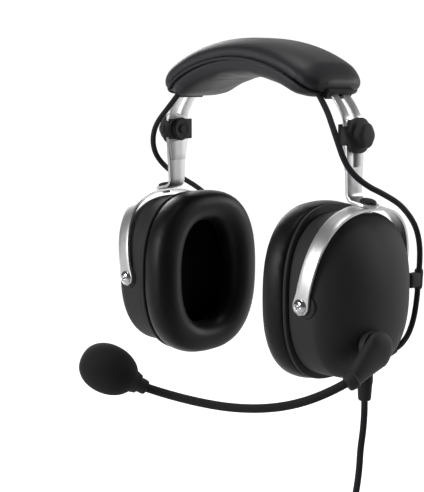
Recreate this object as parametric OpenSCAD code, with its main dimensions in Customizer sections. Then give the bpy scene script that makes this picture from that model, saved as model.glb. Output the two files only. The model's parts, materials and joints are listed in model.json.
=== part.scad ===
// Aviation headset: two padded ear cups on a spring headband, with a boom
// microphone on the wearer's left cup and a corded pair of aircraft plugs.
// Millimetres. +X is the wearer's left, -Y is the way the face looks, +Z is up.
// The origin lies midway between the ear cups, on the line through the ears.

/* [Ear cups] */
// Height of the ear seal
seal_h = 106; // [98:1:116]
// Width of the ear seal
seal_w = 91.6; // [84:0.4:98]
// Distance between the two ear seals at rest
seal_gap = 79; // [60:1:95]
// Thickness of the ear seal's cushion
seal_t = 18.5; // [15:0.5:22]
// Height of the ear opening
ear_h = 68; // [60:1:76]
// Width of the ear opening
ear_w = 46; // [38:1:52]
// Step from the seal's widest line in to the shell, at the cup's sides
side_step = 2.6; // [1.5:0.1:4]
// Step from the seal's highest line down to the shell
top_step = 4.6; // [3:0.1:6]
// Wall of the cup
wall = 2.4; // [1.8:0.1:3]
// Length of the cup's straight side
side_len = 17.3; // [16:0.1:20]
// Depth of the cup's domed cover
dome_len = 20.7; // [17:0.1:24]

/* [Yoke] */
// Distance from the origin to the cups' pivot screws, across
pivot_x = 72.7; // [70:0.1:75]
// Height of the pivot screws
pivot_z = -1.6; // [-4:0.1:1]
// Width of the stirrup's strap
stirrup_w = 9; // [8:0.5:11]
// Thickness of the stirrup's strap
stirrup_t = 1.7; // [1.2:0.1:2.2]
// Rise of the stirrup above the pivot screws
stirrup_rise = 53.5; // [53:0.5:60]
// Distance that the stirrup's top stands out past the pivot screws
stirrup_lean = 10.7; // [8:0.1:13]
// Width of the yoke plate at the knob
yoke_w = 16.4; // [15:0.2:18]
// Width of the yoke plate's foot
foot_w = 13; // [12:0.5:15]
// Thickness of the yoke plate
yoke_t = 1.8; // [1.4:0.1:2.2]
// Distance that the yoke may be pushed up to shorten the headset
yoke_up = 16; // [10:1:18]
// Distance that the yoke may be pulled down
yoke_down = 3; // [1:0.5:4]

/* [Clamp] */
// Height of the clamp knobs
knob_z = 92; // [90:0.5:96]
// Diameter of the knob's flange
knob_d = 20.4; // [18:0.2:22]
// Diameter of the knob's grip
grip_d = 15.6; // [13:0.2:17]
// Diameter of the clamp screw
screw_d = 3.8; // [3:0.1:4]

/* [Headband] */
// Width of the head spring
spring_w = 17; // [15:0.5:19]
// Thickness of the head spring
spring_t = 1.2; // [0.8:0.1:1.6]
// Distance from the origin to the spring's legs, across
leg_x = 71.8; // [70:0.1:73]
// Radius of the spring's shoulders
shoulder_r = 50; // [46:1:54]
// Length of the pad along the crown, as half its angle
pad_half = 37; // [34:1:39]
// Width of the pad
pad_w = 56; // [48:1:60]
// Thickness of the pad above the spring
pad_over = 11; // [8:0.5:13]
// Thickness of the pad under the spring
pad_under = 11.5; // [8:0.5:14]

/* [Microphone] */
// Diameter of the boom
boom_d = 5; // [4:0.1:6]
// Diameter of the foam windscreen
foam_d = 27.5; // [25:0.5:31]
// Length of the foam windscreen
foam_len = 33.5; // [31:0.5:37]
// Diameter of the boom's pivot pin
boom_pin_d = 6; // [4:0.5:7]

/* [Cords] */
// Diameter of the main cord
cord_d = 4; // [3.5:0.1:4.5]
// Diameter of the two tails
tail_d = 3.6; // [3:0.1:4]
// Diameter of the cable that joins the two cups
link_d = 3.5; // [3:0.1:3.8]
// Diameter of the headphone plug
phone_plug_d = 6.35; // [6.3:0.01:6.4]
// Diameter of the microphone plug
mic_plug_d = 5.23; // [5.1:0.01:5.3]
// Length of the headphone plug's sleeve
phone_sleeve = 22; // [18:0.5:24]
// Length of the microphone plug's sleeve
mic_sleeve = 19; // [16:0.5:22]

/* [Hidden] */
SIDED = ["clamp_knob", "clamp_screw", "yoke_plate", "foot_rivet", "rivet_cap",
    "cable_upper", "stirrup", "cable_middle", "cup_frame", "cup_shell",
    "seal_flange", "ear_seal", "baffle", "speaker", "foam_liner",
    "pivot_screws", "cable_clips", "cable_lower"];
$fn = 48;

run_gap = 0.05;      // radial clearance of a turning fit
soft_gap = 0.3;      // room between a soft part and its neighbour
slide_gap = 0.1;     // room between faces that slide
end_gap = 0.3;       // room between the ends of two lengths of cable
round_n = 2.5;       // roundness of the ear seal's outline, 2 is an ellipse
sides = 44;          // points round an ear outline

// Ear cup, measured outwards from the origin
seal_x0 = seal_gap / 2;
seal_x1 = seal_x0 + seal_t;
flange_t = 2.6;
frame_x0 = seal_x1 + flange_t + 0.4;
frame_x1 = frame_x0 + side_len;
flange_in = 0.8;
frame_hw = seal_w / 2 - side_step;
frame_hh = seal_h / 2 - top_step;
liner_t = 2.2;
baffle_t = 2;
speaker_r = 20;

// Yoke and stirrup
boss_t = 1;
boss_r = 5.4;
eye_r = 5.4;
arm_y0 = frame_hw + boss_t + 2.5 * slide_gap;
arm_y1 = arm_y0 + stirrup_t;
lean = atan(stirrup_lean / stirrup_rise);
arm_len = sqrt(pow(stirrup_lean, 2) + pow(stirrup_rise, 2));
pivot_shank_r = 2;
rivet_r = 2.2;
rivet_head = 1.2;
arch_n = 2.6;          // roundness of the stirrup's arch
bend_r = 4;
spring_out = leg_x + spring_t / 2;
yoke_x0 = spring_out + slide_gap;
yoke_x1 = yoke_x0 + yoke_t;
foot_len = 13;
yoke_top = knob_z + 9;
slot_w = screw_d + 0.4;

// Clamp
guide_t = 1.3;
guide_h = 13;
guide_lip = 1.2;
nut_t = 1.8;
nut_r = 7.5;
flange_len = 4;
grip_len = 5;

// Head spring: a leg, a small bend, a shoulder and the crown
kink_z = knob_z + guide_h / 2 + 0.2;
kink_r = 10;
kink_deg = 28;
crown_deg = 35;
kink = [leg_x - kink_r * (1 - cos(kink_deg)), kink_z + kink_r * sin(kink_deg)];
shoulder_c = kink - shoulder_r * [cos(kink_deg), sin(kink_deg)];
crown_end = shoulder_c + shoulder_r * [sin(crown_deg), cos(crown_deg)];
crown_r = crown_end[0] / sin(crown_deg);
crown_z = crown_end[1] - crown_r * cos(crown_deg);
leg_end_z = knob_z - 20;

// Boom
boom_y = -13.7;
boom_z = -25.3;
arm_x0 = 98.9;
arm_t = 7;
hub_r = 6.5;
arm_r = 9;
mic_at = [12, -108, -47];
mic_to = [-14.5, -145, -22];

// Cord coil: its middle, its mean radius and half its section
coil_c = [80, 0, -157];
coil_r = 22;
coil_half_x = 8;
coil_half_r = 6;
relief_top = [80, 5, -46];
relief_end = [80, 5, -64];

// Routes, as points chosen by hand
CORD = [[80, 5, -63], [80, 5, -72], [80, 4, -82], [80, 2, -93], [80, 1, -104],
    [80, 0, -114], [80, 1, -122], [80, 5, -129], [80, 12, -134]];
CORD_OUT = [[80, 26, -156], [80, 27, -162], [80, 30, -168], [80, 33, -174]];
PHONE_TAIL = [[77, 33, -199], [76, 33, -206], [75, 35, -216], [74, 39, -228],
    [74, 42, -241], [74, 42, -254], [74, 41, -266]];
MIC_TAIL = [[83, 33, -199], [84, 33, -206], [86, 31, -216], [88, 27, -228],
    [89, 24, -241], [89, 22, -254], [89, 22, -266]];
BOOM = [[97, -36, -44], [92, -41, -48], [86, -50, -52], [80, -54, -54],
    [70, -62, -57], [61, -68, -58], [50, -76, -58], [39, -83, -57],
    [32, -88, -55], [25, -94, -53], [18, -101, -50], [12, -108, -47]];
LINK_LOWER = [[84, 24, -40], [84, 34, -36], [84, 42, -29], [84, 47, -20],
    [84, 50, -8], [84, 51.5, 4], [84, 52.5, 14], [84, 52, 24], [84, 49, 33]];
LINK_MIDDLE = [[84, 49, 33], [84, 44, 40], [84, 36, 47], [84, 27, 52.5],
    [83, 15, 58], [81.5, 4.5, 62.5], [80, -5, 68]];
LINK_UPPER = [[80, -5, 68], [79, -12, 74], [78, -16, 80], [76.5, -18, 86.5],
    [74, -18.5, 93]];
LINK_TOP = [[74, -18.5, 93], [70.5, -17.5, 99], [66, -15.5, 105],
    [61, -14, 111], [56, -13, 116.5], [50, -13, 121]];
LINK_CROWN = [[40, -13, 125], [28, -13, 130], [14, -13, 133], [0, -13, 134]];

// ---- helpers ----

// Shapes one side's children, 1 for the wearer's left and -1 for the right
module side(s) {
    if (s > 0) children();
    else mirror([1, 0, 0]) children();
}

// A rounded oval's point at angle a, for half sizes w and h
function oval(a, w, h, n = round_n) = [
    w * sign(cos(a)) * pow(abs(cos(a)), 2 / n),
    h * sign(sin(a)) * pow(abs(sin(a)), 2 / n)];

function oval_pts(w, h, n = round_n, k = sides) =
    [for (i = [0 : k - 1]) oval(i * 360 / k, w, h, n)];

// A flat oval plate across X, from x0 to x1
module oval_plate(x0, x1, w, h) {
    translate([x0, 0, 0]) rotate([90, 0, 90])
        linear_extrude(x1 - x0) polygon(oval_pts(w, h));
}

// Unit vector along v, and the cross product's unit vector
function unit(v) = v / norm(v);

// Points on a smooth curve through the route's points, n to a span
function smooth(p, n) = concat([for (i = [0 : len(p) - 2], j = [0 : n - 1])
    let (t = j / n, a = p[max(i - 1, 0)], b = p[i], c = p[i + 1],
        d = p[min(i + 2, len(p) - 1)])
    0.5 * ((2 * b) + (c - a) * t + (2 * a - 5 * b + 4 * c - d) * t * t
        + (3 * b - a - 3 * c + d) * t * t * t)], [p[len(p) - 1]]);

// Direction of a route at its i-th point
function heading(p, i) = unit(p[min(i + 1, len(p) - 1)] - p[max(i - 1, 0)]);

// A cross direction carried along the route without twisting
function carried(p, i, u) = i >= len(p) ? [] :
    let (h = heading(p, i), v = unit(u - (u * h) * h))
    concat([v], carried(p, i + 1, v));

// A round tube of diameter d swept along the route p
module tube(p, d, k = 8, first = [0.31, 0.87, 0.4]) {
    m = len(p);
    across = carried(p, 0, unit(first));
    pts = [for (i = [0 : m - 1])
        let (h = heading(p, i), u = across[i], v = cross(h, u))
        for (j = [0 : k - 1])
            p[i] + d / 2 * (cos(j * 360 / k) * u + sin(j * 360 / k) * v)];
    walls = [for (i = [0 : m - 2], j = [0 : k - 1])
        let (a = i * k + j, b = i * k + (j + 1) % k) [a, a + k, b + k, b]];
    first_cap = [for (j = [0 : k - 1]) j];
    last_cap = [for (j = [k - 1 : -1 : 0]) (m - 1) * k + j];
    polyhedron(pts, concat(walls, [first_cap, last_cap]), convexity = 8);
}

// Stands children, made along +Z, at a and points them at b
module along(a, b) {
    v = b - a;
    translate(a) rotate([0, acos(v[2] / norm(v)), atan2(v[1], v[0])])
        children();
}

// A cylinder along X
module x_cyl(x0, x1, r, y = 0, z = 0) {
    translate([x0, y, z]) rotate([0, 90, 0]) cylinder(r = r, h = x1 - x0);
}

// A cylinder along Y
module y_cyl(y0, y1, r, x = 0, z = 0) {
    translate([x, y1, z]) rotate([90, 0, 0]) cylinder(r = r, h = y1 - y0);
}

// ---- headband ----

function arc(c, r, a0, a1, n) = [for (i = [0 : n])
    let (a = a0 + (a1 - a0) * i / n) c + r * [cos(a), sin(a)]];

// The spring's middle line from the left leg's end to the crown's top,
// moved outwards by o
function spring_line(o) = concat(
    [[leg_x + o, leg_end_z], [leg_x + o, kink_z]],
    arc([leg_x - kink_r, kink_z], kink_r + o, 7, kink_deg, 3),
    arc(shoulder_c, shoulder_r + o, kink_deg + 4, 90 - crown_deg, 8),
    arc([0, crown_z], crown_r + o, 90 - crown_deg + 4, 90, 9));

function mirrored(p) = [for (i = [len(p) - 2 : -1 : 0]) [-p[i][0], p[i][1]]];

function spring_half(o) = let (p = spring_line(o)) concat(p, mirrored(p));

function backwards(p) = [for (i = [len(p) - 1 : -1 : 0]) p[i]];

module head_spring() {
    color("silver") difference() {
        translate([0, spring_w / 2, 0]) rotate([90, 0, 0])
            linear_extrude(spring_w) polygon(concat(
                spring_half(spring_t / 2), backwards(spring_half(-spring_t / 2))));
        for (s = [-1, 1]) side(s) {
            x_cyl(leg_x - spring_t, leg_x + spring_t, screw_d / 2 + 0.2, 0, knob_z);
            translate([50, -slot_w / 2, knob_z + 9])
                cube([leg_x - 40, slot_w, 19]);
        }
    }
}

// A pad half: sections across the crown, from radius r0 to radius r1
module pad_half_solid(r0, r1, w) {
    n = 22;
    bow = r1 > r0 ? 1 : -1;
    section = [[-1, 0], [-1, 0.3], [-0.93, 0.62], [-0.78, 0.84], [-0.5, 0.96],
        [0, 1], [0.5, 0.96], [0.78, 0.84], [0.93, 0.62], [1, 0.3], [1, 0]];
    k = len(section);
    pts = [for (i = [0 : n])
        let (t = 2 * i / n - 1, a = pad_half * t,
            end = sqrt(max(1 - pow(abs(t), 7), 0)), full = 0.35 + 0.65 * end,
            hw = w / 2 * (0.8 + 0.2 * end))
        for (q = section)
            let (r = r0 + (r1 - r0) * q[1] * full)
            [r * sin(a), q[0] * hw, crown_z + r * cos(a)]];
    walls = [for (i = [0 : n - 1], j = [0 : k - 1])
        let (a = i * k + j, b = i * k + (j + 1) % k) [a, b, b + k, a + k]];
    first_cap = [for (j = [k - 1 : -1 : 0]) j];
    last_cap = [for (j = [0 : k - 1]) n * k + j];
    faces = concat(walls, [first_cap, last_cap]);
    polyhedron(pts, bow > 0 ? [for (f = faces) backwards(f)] : faces,
        convexity = 4);
}

module pad_cover() {
    color("#1c1c1e") pad_half_solid(crown_r + spring_t / 2 + soft_gap,
        crown_r + spring_t / 2 + pad_over, pad_w);
}

module pad_cushion() {
    color("#222224") pad_half_solid(crown_r - spring_t / 2 - soft_gap,
        crown_r - spring_t / 2 - pad_under, pad_w - 2);
}

module pad_ends() {
    end_deg = 47;
    end_w = 22;
    end_len = 5;
    end_t = 6;
    color("#141414") for (s = [-1, 1]) side(s)
        translate([shoulder_c[0], 0, shoulder_c[1]]) rotate([0, -end_deg, 0])
            difference() {
                translate([shoulder_r - end_t / 2, -end_w / 2, -end_len / 2])
                    cube([end_t, end_w, end_len]);
                translate([shoulder_r - spring_t / 2 - 0.4,
                    -spring_w / 2 - slide_gap, -end_len])
                    cube([spring_t + 0.6, spring_w + 2 * slide_gap,
                        2 * end_len]);
            }
}

// ---- clamp ----

module guide_plates() {
    x0 = leg_x - spring_t / 2 - slide_gap / 2 - guide_t;
    half = max(yoke_w, spring_w) / 2 + slide_gap;
    color("#161616") for (s = [-1, 1]) side(s) difference() {
        translate([x0, -half - guide_lip, knob_z - guide_h / 2])
            cube([yoke_x1 - x0, 2 * (half + guide_lip), guide_h]);
        translate([x0 + guide_t, -half, knob_z - guide_h])
            cube([2 * yoke_t + spring_t + 2, 2 * half, 2 * guide_h]);
        x_cyl(x0 - 1, x0 + guide_t + 1, screw_d / 2 + 0.2, 0, knob_z);
    }
}

module clamp_nuts() {
    x1 = leg_x - spring_t / 2 - slide_gap / 2 - guide_t;
    color("#1a1a1a") for (s = [-1, 1]) side(s) difference() {
        translate([x1 - nut_t, 0, knob_z]) rotate([0, 90, 0]) union() {
            cylinder(r = nut_r, h = nut_t);
            translate([0, 0, -0.6])
                cylinder(r1 = nut_r - 0.8, r2 = nut_r, h = 0.6);
        }
        x_cyl(x1 - nut_t - 2, x1 + 1, screw_d / 2 + run_gap, 0, knob_z);
        x_cyl(x1 - nut_t - 2, x1 - nut_t, 3.2, 0, knob_z);
    }
}

knob_x0 = yoke_x1 + slide_gap;
knob_x1 = knob_x0 + flange_len + grip_len;

module clamp_knob(s) {
    color("#202022") side(s) translate([knob_x0, 0, knob_z]) rotate([0, 90, 0])
        rotate_extrude() polygon([[screw_d / 2, 0], [knob_d / 2 - 0.6, 0],
            [knob_d / 2, 0.6], [knob_d / 2, flange_len - 1],
            [knob_d / 2 - 1, flange_len], [grip_d / 2 - 0.4, flange_len],
            [grip_d / 2, flange_len + 0.6],
            [grip_d / 2, flange_len + grip_len - 2],
            [grip_d / 2 - 0.8, flange_len + grip_len - 0.8],
            [grip_d / 2 - 3, flange_len + grip_len], [screw_d / 2,
            flange_len + grip_len + 0.4]]);
}

module clamp_screw(s) {
    color("silver") side(s)
        x_cyl(leg_x - spring_t / 2 - guide_t - nut_t, knob_x1, screw_d / 2,
            0, knob_z);
}

// ---- yoke ----

// Frame whose +Z runs up the leaning stirrup from between the pivot screws
module leaned() {
    translate([pivot_x, 0, pivot_z]) rotate([0, lean, 0]) children();
}

// Underside of the foot, along the leaning frame's Z
foot_z = arm_len + slide_gap;

// The foot's start, where the upright plate bends out into it
foot_mid = [pivot_x + foot_z * sin(lean), pivot_z + foot_z * cos(lean)];
fold = 90 - lean;
// Centre of the fold: bend_r outside the plate and above the foot's top
fold_c = let (x = yoke_x1 + bend_r,
        top = foot_mid + (yoke_t + bend_r) * [sin(lean), cos(lean)],
        k = (x - top[0]) / cos(lean))
    [x, top[1] - k * sin(lean)];

module yoke_plate(s) {
    inner = bend_r;
    outer = bend_r + yoke_t;
    foot_dir = [cos(lean), -sin(lean)];
    tip_in = fold_c - inner * [sin(lean), cos(lean)] + (foot_len + 6) * foot_dir;
    tip_out = fold_c - outer * [sin(lean), cos(lean)] + (foot_len + 6) * foot_dir;
    profile = concat([[yoke_x0, yoke_top], [yoke_x0, fold_c[1]]],
        arc(fold_c, outer, 180, 180 + fold, 8), [tip_out, tip_in],
        backwards(arc(fold_c, inner, 180, 180 + fold, 8)),
        [[yoke_x1, fold_c[1]], [yoke_x1, yoke_top]]);
    slot_top = knob_z + screw_d / 2 + yoke_down + 1;
    slot_low = knob_z - screw_d / 2 - yoke_up - 1;
    color("silver") side(s) difference() {
        intersection() {
            translate([0, yoke_w / 2, 0]) rotate([90, 0, 0])
                linear_extrude(yoke_w) polygon(profile);
            union() {
                translate([yoke_x0 - 1, 0, 0]) rotate([90, 0, 90])
                    linear_extrude(yoke_t + 2)
                        polygon([[-yoke_w / 2, yoke_top],
                            [-yoke_w / 2, knob_z - 10], [-foot_w / 2,
                            fold_c[1] - 0.01], [foot_w / 2, fold_c[1] - 0.01],
                            [yoke_w / 2, knob_z - 10],
                            [yoke_w / 2, yoke_top]]);
                translate([yoke_x0 - 1, -foot_w / 2, fold_c[1] - 12])
                    cube([foot_mid[0] - yoke_x0 + 1, foot_w, 12]);
                leaned() translate([0, 0, foot_z - 3])
                    cylinder(r = foot_w / 2, h = yoke_t + 6);
            }
        }
        for (z = [slot_top, slot_low])
            x_cyl(yoke_x0 - 1, yoke_x1 + 1, slot_w / 2, 0,
                z + (z > knob_z ? -1 : 1) * slot_w / 2);
        translate([yoke_x0 - 1, -slot_w / 2, slot_low + slot_w / 2])
            cube([yoke_t + 2, slot_w, slot_top - slot_low - slot_w]);
        leaned() translate([0, 0, foot_z - 3])
            cylinder(r = rivet_r, h = yoke_t + 6);
    }
}

module foot_rivet(s) {
    under = arm_len - stirrup_t - rivet_head - slide_gap;
    top = foot_z + yoke_t;
    color("silver") side(s) leaned() {
        translate([0, 0, under]) cylinder(r = rivet_r + 1.2, h = rivet_head);
        translate([0, 0, under]) cylinder(r = rivet_r, h = top - under + 1);
    }
}

module rivet_cap(s) {
    cap_r = 4.6;
    cap_h = 3.6;
    color("#161616") side(s) leaned() translate([0, 0, foot_z + yoke_t])
        rotate_extrude() polygon([[rivet_r, 0], [cap_r, 0],
            [cap_r, cap_h * 0.5], [cap_r * 0.85, cap_h * 0.82],
            [cap_r * 0.5, cap_h * 0.97], [0, cap_h], [0, 1.2],
            [rivet_r, 1.2]]);
}

module stirrup(s) {
    mid_y = (arm_y0 + arm_y1) / 2;
    mid_z = arm_len - stirrup_t / 2;
    n = 36;
    // half an oval, moved out or in by o along its own normal
    function edge(a, o) =
        let (p = oval(a, mid_y, mid_z, arch_n), q = oval(a + 0.5, mid_y, mid_z, arch_n),
            t = unit(q - p)) p + o * [t[1], -t[0]];
    ring = concat([for (i = [0 : n]) edge(min(i * 180 / n, 179.5), stirrup_t / 2)],
        [for (i = [n : -1 : 0]) edge(min(i * 180 / n, 179.5), -stirrup_t / 2)]);
    color("silver") side(s) leaned() difference() {
        union() {
            translate([-stirrup_w / 2, 0, 0]) rotate([90, 0, 90])
                linear_extrude(stirrup_w) polygon(ring);
            y_cyl(arm_y0, arm_y1, eye_r);
            y_cyl(-arm_y1, -arm_y0, eye_r);
        }
        y_cyl(arm_y0 - 2, arm_y1 + 2, pivot_shank_r + run_gap);
        y_cyl(-arm_y1 - 2, -arm_y0 + 2, pivot_shank_r + run_gap);
        translate([0, 0, arm_len - 4])
            cylinder(r = rivet_r + run_gap, h = 8);
    }
}

// ---- ear cup ----

module cup_frame(s) {
    color("#1b1b1d") side(s) difference() {
        union() {
            difference() {
                oval_plate(frame_x0, frame_x1, frame_hw, frame_hh);
                oval_plate(frame_x0 - 1, frame_x1 + 1, frame_hw - wall,
                    frame_hh - wall);
            }
            for (e = [0, 1]) mirror([0, e, 0])
                y_cyl(frame_hw - wall / 2, frame_hw + boss_t, boss_r, pivot_x,
                    pivot_z);
        }
        for (e = [0, 1]) mirror([0, e, 0])
            y_cyl(frame_hw - 3 * wall, frame_hw + boss_t + 1,
                pivot_shank_r + run_gap, pivot_x, pivot_z);
    }
}

// Share of the dome's width left at share t of its depth
function dome_share(t) = sqrt(max(1 - pow(t, 1.7), 0));

function dome_rings(w, h, x0, depth, low) = [for (t = low)
    [x0 + depth * t, max(w * dome_share(t), 3), max(h * dome_share(t), 4)]];

DOME_STEPS = [0, 0.14, 0.28, 0.42, 0.55, 0.67, 0.78, 0.87, 0.94, 0.98, 0.998];

module cup_shell(s) {
    outside = dome_rings(frame_hw, frame_hh, frame_x1, dome_len, DOME_STEPS);
    inside = dome_rings(frame_hw - wall, frame_hh - wall, frame_x1,
        dome_len - wall, DOME_STEPS);
    k = sides;
    rings = concat(outside, backwards(inside));
    m = len(outside);
    n = len(rings);
    pts = [for (r = rings, i = [0 : k - 1])
        let (p = oval(i * 360 / k, r[1], r[2])) [r[0], p[0], p[1]]];
    skin = [for (j = [0 : n - 1], i = [0 : k - 1]) if (j != m - 1)
        let (a = j * k + i, b = j * k + (i + 1) % k, c = ((j + 1) % n) * k)
        [a, c + i, c + (i + 1) % k, b]];
    crown = [for (i = [k - 1 : -1 : 0]) (m - 1) * k + i];
    crown_in = [for (i = [0 : k - 1]) m * k + i];
    color("#1b1b1d") side(s)
        polyhedron(pts, concat(skin, [crown, crown_in]), convexity = 6);
}

module seal_flange(s) {
    color("#171717") side(s) difference() {
        oval_plate(seal_x1 + 0.2, seal_x1 + 0.2 + flange_t,
            seal_w / 2 - flange_in, seal_h / 2 - flange_in);
        oval_plate(seal_x1 - 1, seal_x1 + flange_t + 2, ear_w / 2 + 10,
            ear_h / 2 + 9);
    }
}

module ear_seal(s) {
    // the cushion's section: share of the way out from the ear, and of depth
    section = [[0.14, 1], [0, 0.8], [-0.02, 0.5], [0.06, 0.24], [0.22, 0.07],
        [0.44, 0], [0.68, 0.02], [0.87, 0.1], [0.97, 0.27], [1, 0.52],
        [0.97, 0.82], [0.86, 1]];
    m = len(section);
    k = sides;
    pts = [for (q = section, i = [0 : k - 1])
        let (a = oval(i * 360 / k, ear_w / 2, ear_h / 2),
            b = oval(i * 360 / k, seal_w / 2, seal_h / 2),
            p = a + (b - a) * q[0])
        [seal_x0 + seal_t * q[1], p[0], p[1]]];
    faces = [for (j = [0 : m - 1], i = [0 : k - 1])
        let (a = j * k + i, b = j * k + (i + 1) % k, c = ((j + 1) % m) * k)
        [b, c + (i + 1) % k, c + i, a]];
    color("#1d1d1f") side(s) polyhedron(pts, faces, convexity = 6);
}

baffle_x0 = frame_x0 + 0.1;
board_x = baffle_x0 + baffle_t + 4;

module baffle(s) {
    color("#2a2a2c") side(s) difference() {
        union() {
            oval_plate(baffle_x0, baffle_x0 + baffle_t,
                frame_hw - wall - 0.1, frame_hh - wall - 0.1);
            if (s > 0) for (y = [-11, 11], z = [26, 37])
                x_cyl(baffle_x0 + 0.5, board_x, 2, y, z);
        }
        for (i = [0 : 5]) x_cyl(baffle_x0 - 1, baffle_x0 + baffle_t + 1, 2.4,
            11 * cos(i * 60), 11 * sin(i * 60));
        x_cyl(baffle_x0 - 1, baffle_x0 + baffle_t + 1, 3);
    }
}

module speaker(s) {
    x0 = baffle_x0 + baffle_t;
    color("#3a3a3c") side(s) translate([x0, 0, 0]) rotate([0, 90, 0])
        rotate_extrude() polygon([[0, 2], [6, 1.4], [16, 2.4], [17.5, 0],
            [speaker_r, 0], [speaker_r, 2.6], [18, 3.4], [11, 7], [11, 11],
            [0, 11]]);
}

module foam_liner(s) {
    color("#0e0e0e") side(s) oval_plate(frame_x0 - 0.1 - liner_t,
        frame_x0 - 0.1, ear_w / 2 + 9.6, ear_h / 2 + 8.6);
}

module pivot_screws(s) {
    head_r = 4.2;
    head_h = 2.2;
    shank_in = frame_hw - wall - 1;
    y0 = arm_y1 + slide_gap;
    color("silver") side(s) for (e = [0, 1]) mirror([0, e, 0])
        translate([pivot_x, 0, pivot_z]) rotate([-90, 0, 0]) difference() {
            rotate_extrude() polygon([[0, shank_in], [pivot_shank_r, shank_in],
                [pivot_shank_r, y0], [head_r, y0], [head_r, y0 + 0.6],
                [head_r * 0.86, y0 + head_h * 0.7],
                [head_r * 0.5, y0 + head_h * 0.95], [0, y0 + head_h]]);
            for (a = [0, 90]) rotate([0, 0, a])
                translate([-0.45, -2, y0 + head_h - 1.4]) cube([0.9, 4, 3]);
        }
}

module cable_clips(s) {
    // the clip at the cup's rear, and the grommet where the cable comes out
    clip_at = LINK_LOWER[6];
    block = [6, 9, 5];
    grommet = [LINK_LOWER[0], LINK_LOWER[0] + 7 * heading(LINK_LOWER, 0)];
    color("#151515") side(s) {
        difference() {
            translate(clip_at - [block[0] / 2, block[1] - link_d / 2 - 1, 6])
                cube(block);
            translate(clip_at - [0, 0, 8])
                cylinder(r = link_d / 2 + run_gap, h = 12);
        }
        along(grommet[0], grommet[1]) difference() {
            cylinder(r = link_d / 2 + 1.6, h = 7);
            translate([0, 0, -1]) cylinder(r = link_d / 2 + 0.15, h = 9);
        }
    }
}

// A route whose ends are drawn back by g, to stay clear of what it meets
function drawn_back(p, g) = let (n = len(p) - 1)
    concat([p[0] + g * heading(p, 0)], [for (i = [1 : n - 1]) p[i]],
        [p[n] - g * heading(p, n)]);

module cable(s, route) {
    color("#18181a") side(s)
        tube(smooth(drawn_back(route, end_gap), 3), link_d, 8);
}

module crossover_cable() {
    half = smooth(drawn_back(concat(LINK_TOP, LINK_CROWN), 3 * end_gap), 2);
    whole = concat(half, [for (i = [len(half) - 2 : -1 : 0])
        [-half[i][0], half[i][1], half[i][2]]]);
    color("#18181a") tube(whole, link_d, 8);
}

// ---- microphone ----

module preamp_board() {
    color("darkgreen") {
        translate([board_x, -14, 23]) cube([1.6, 28, 17]);
        translate([board_x + 1.6, -8, 27]) cube([2, 7, 7]);
        translate([board_x + 1.6, 3, 28]) cube([1.4, 5, 5]);
    }
}

module boom_hub() {
    base = 92;
    color("#1a1a1a") {
        x_cyl(base, arm_x0 - slide_gap, hub_r, boom_y, boom_z);
        x_cyl(arm_x0 - slide_gap, arm_x0 + arm_t - 1, boom_pin_d / 2, boom_y,
            boom_z);
    }
}

module boom_arm() {
    root = [arm_x0 + arm_t / 2 + 1, boom_y, boom_z];
    neck_end = BOOM[0];
    way = unit(neck_end - root);
    color("#1e1e20") difference() {
        union() {
            translate([arm_x0, boom_y, boom_z]) rotate([0, 90, 0])
                rotate_extrude() polygon([[0, 0], [arm_r - 0.6, 0],
                    [arm_r, 0.6], [arm_r, arm_t - 2.4],
                    [arm_r - 0.7, arm_t - 1], [arm_r - 2.4, arm_t],
                    [0, arm_t]]);
            along(root + 4 * way, neck_end)
                cylinder(r1 = 2.8, r2 = 4.4, h = norm(neck_end - root) - 4);
        }
        x_cyl(arm_x0 - 1, arm_x0 + arm_t - 0.9, boom_pin_d / 2 + run_gap,
            boom_y, boom_z);
    }
}

module boom_tube() {
    color("#19191b") tube(smooth(BOOM, 2), boom_d, 10);
}

module mic_collar() {
    color("#1c1c1e") along(mic_at, mic_to) rotate_extrude()
        polygon([[0, 0], [3.2, 0], [4.6, 1], [7.2, 7], [7.2, 8.5], [0, 8.5]]);
}

module mic_capsule() {
    color("#303032") along(mic_at, mic_to) translate([0, 0, 8.5])
        cylinder(r = 5.2, h = 12);
}

module windscreen() {
    body = [for (i = [0 : 12]) let (a = i * 15)
        [max(foam_d / 2 * pow(sin(a), 0.8), 0.01),
            6 + foam_len * (0.5 - 0.5 * cos(a))]];
    color("#161616") along(mic_at, mic_to) difference() {
        rotate_extrude() polygon(concat([[0, 6]], [for (p = body)
            if (p[0] > 0.02) p], [[0, 6 + foam_len]]));
        translate([0, 0, 4]) cylinder(r = 7.5, h = 4.8);
        translate([0, 0, 8]) cylinder(r = 5.5, h = 12.8);
    }
}

// ---- cord ----

module strain_relief() {
    color("#171717") along(relief_top, relief_end) difference() {
        union() {
            cylinder(r = 4.8, h = 6);
            translate([0, 0, 6]) cylinder(r1 = 4.7, r2 = 3.9,
                h = norm(relief_end - relief_top) - 6);
        }
        translate([0, 0, norm(relief_end - relief_top) - 1])
            cylinder(r = cord_d / 2 + 0.02, h = 3);
    }
}

module cord_tube() {
    color("#18181a") {
        tube(smooth(CORD, 2), cord_d, 10, [1, 0, 0]);
        tube(smooth(CORD_OUT, 2), cord_d, 10, [1, 0, 0]);
    }
}

module cord_coil() {
    color("#18181a") {
        translate(coil_c) rotate([0, 90, 0]) rotate_extrude()
            translate([coil_r, 0]) polygon([
                [-coil_half_r, -coil_half_x + 2], [-coil_half_r + 2, -coil_half_x],
                [coil_half_r - 2, -coil_half_x], [coil_half_r, -coil_half_x + 2],
                [coil_half_r, coil_half_x - 2], [coil_half_r - 2, coil_half_x],
                [-coil_half_r + 2, coil_half_x], [-coil_half_r, coil_half_x - 2]]);
    }
}

module cord_splitter() {
    color("#161616") {
        translate([74, 28.5, -199]) cube([12, 9, 19]);
        translate([80, 33, -180]) cylinder(r1 = 4.4, r2 = 2.9, h = 5.9);
    }
}

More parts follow.
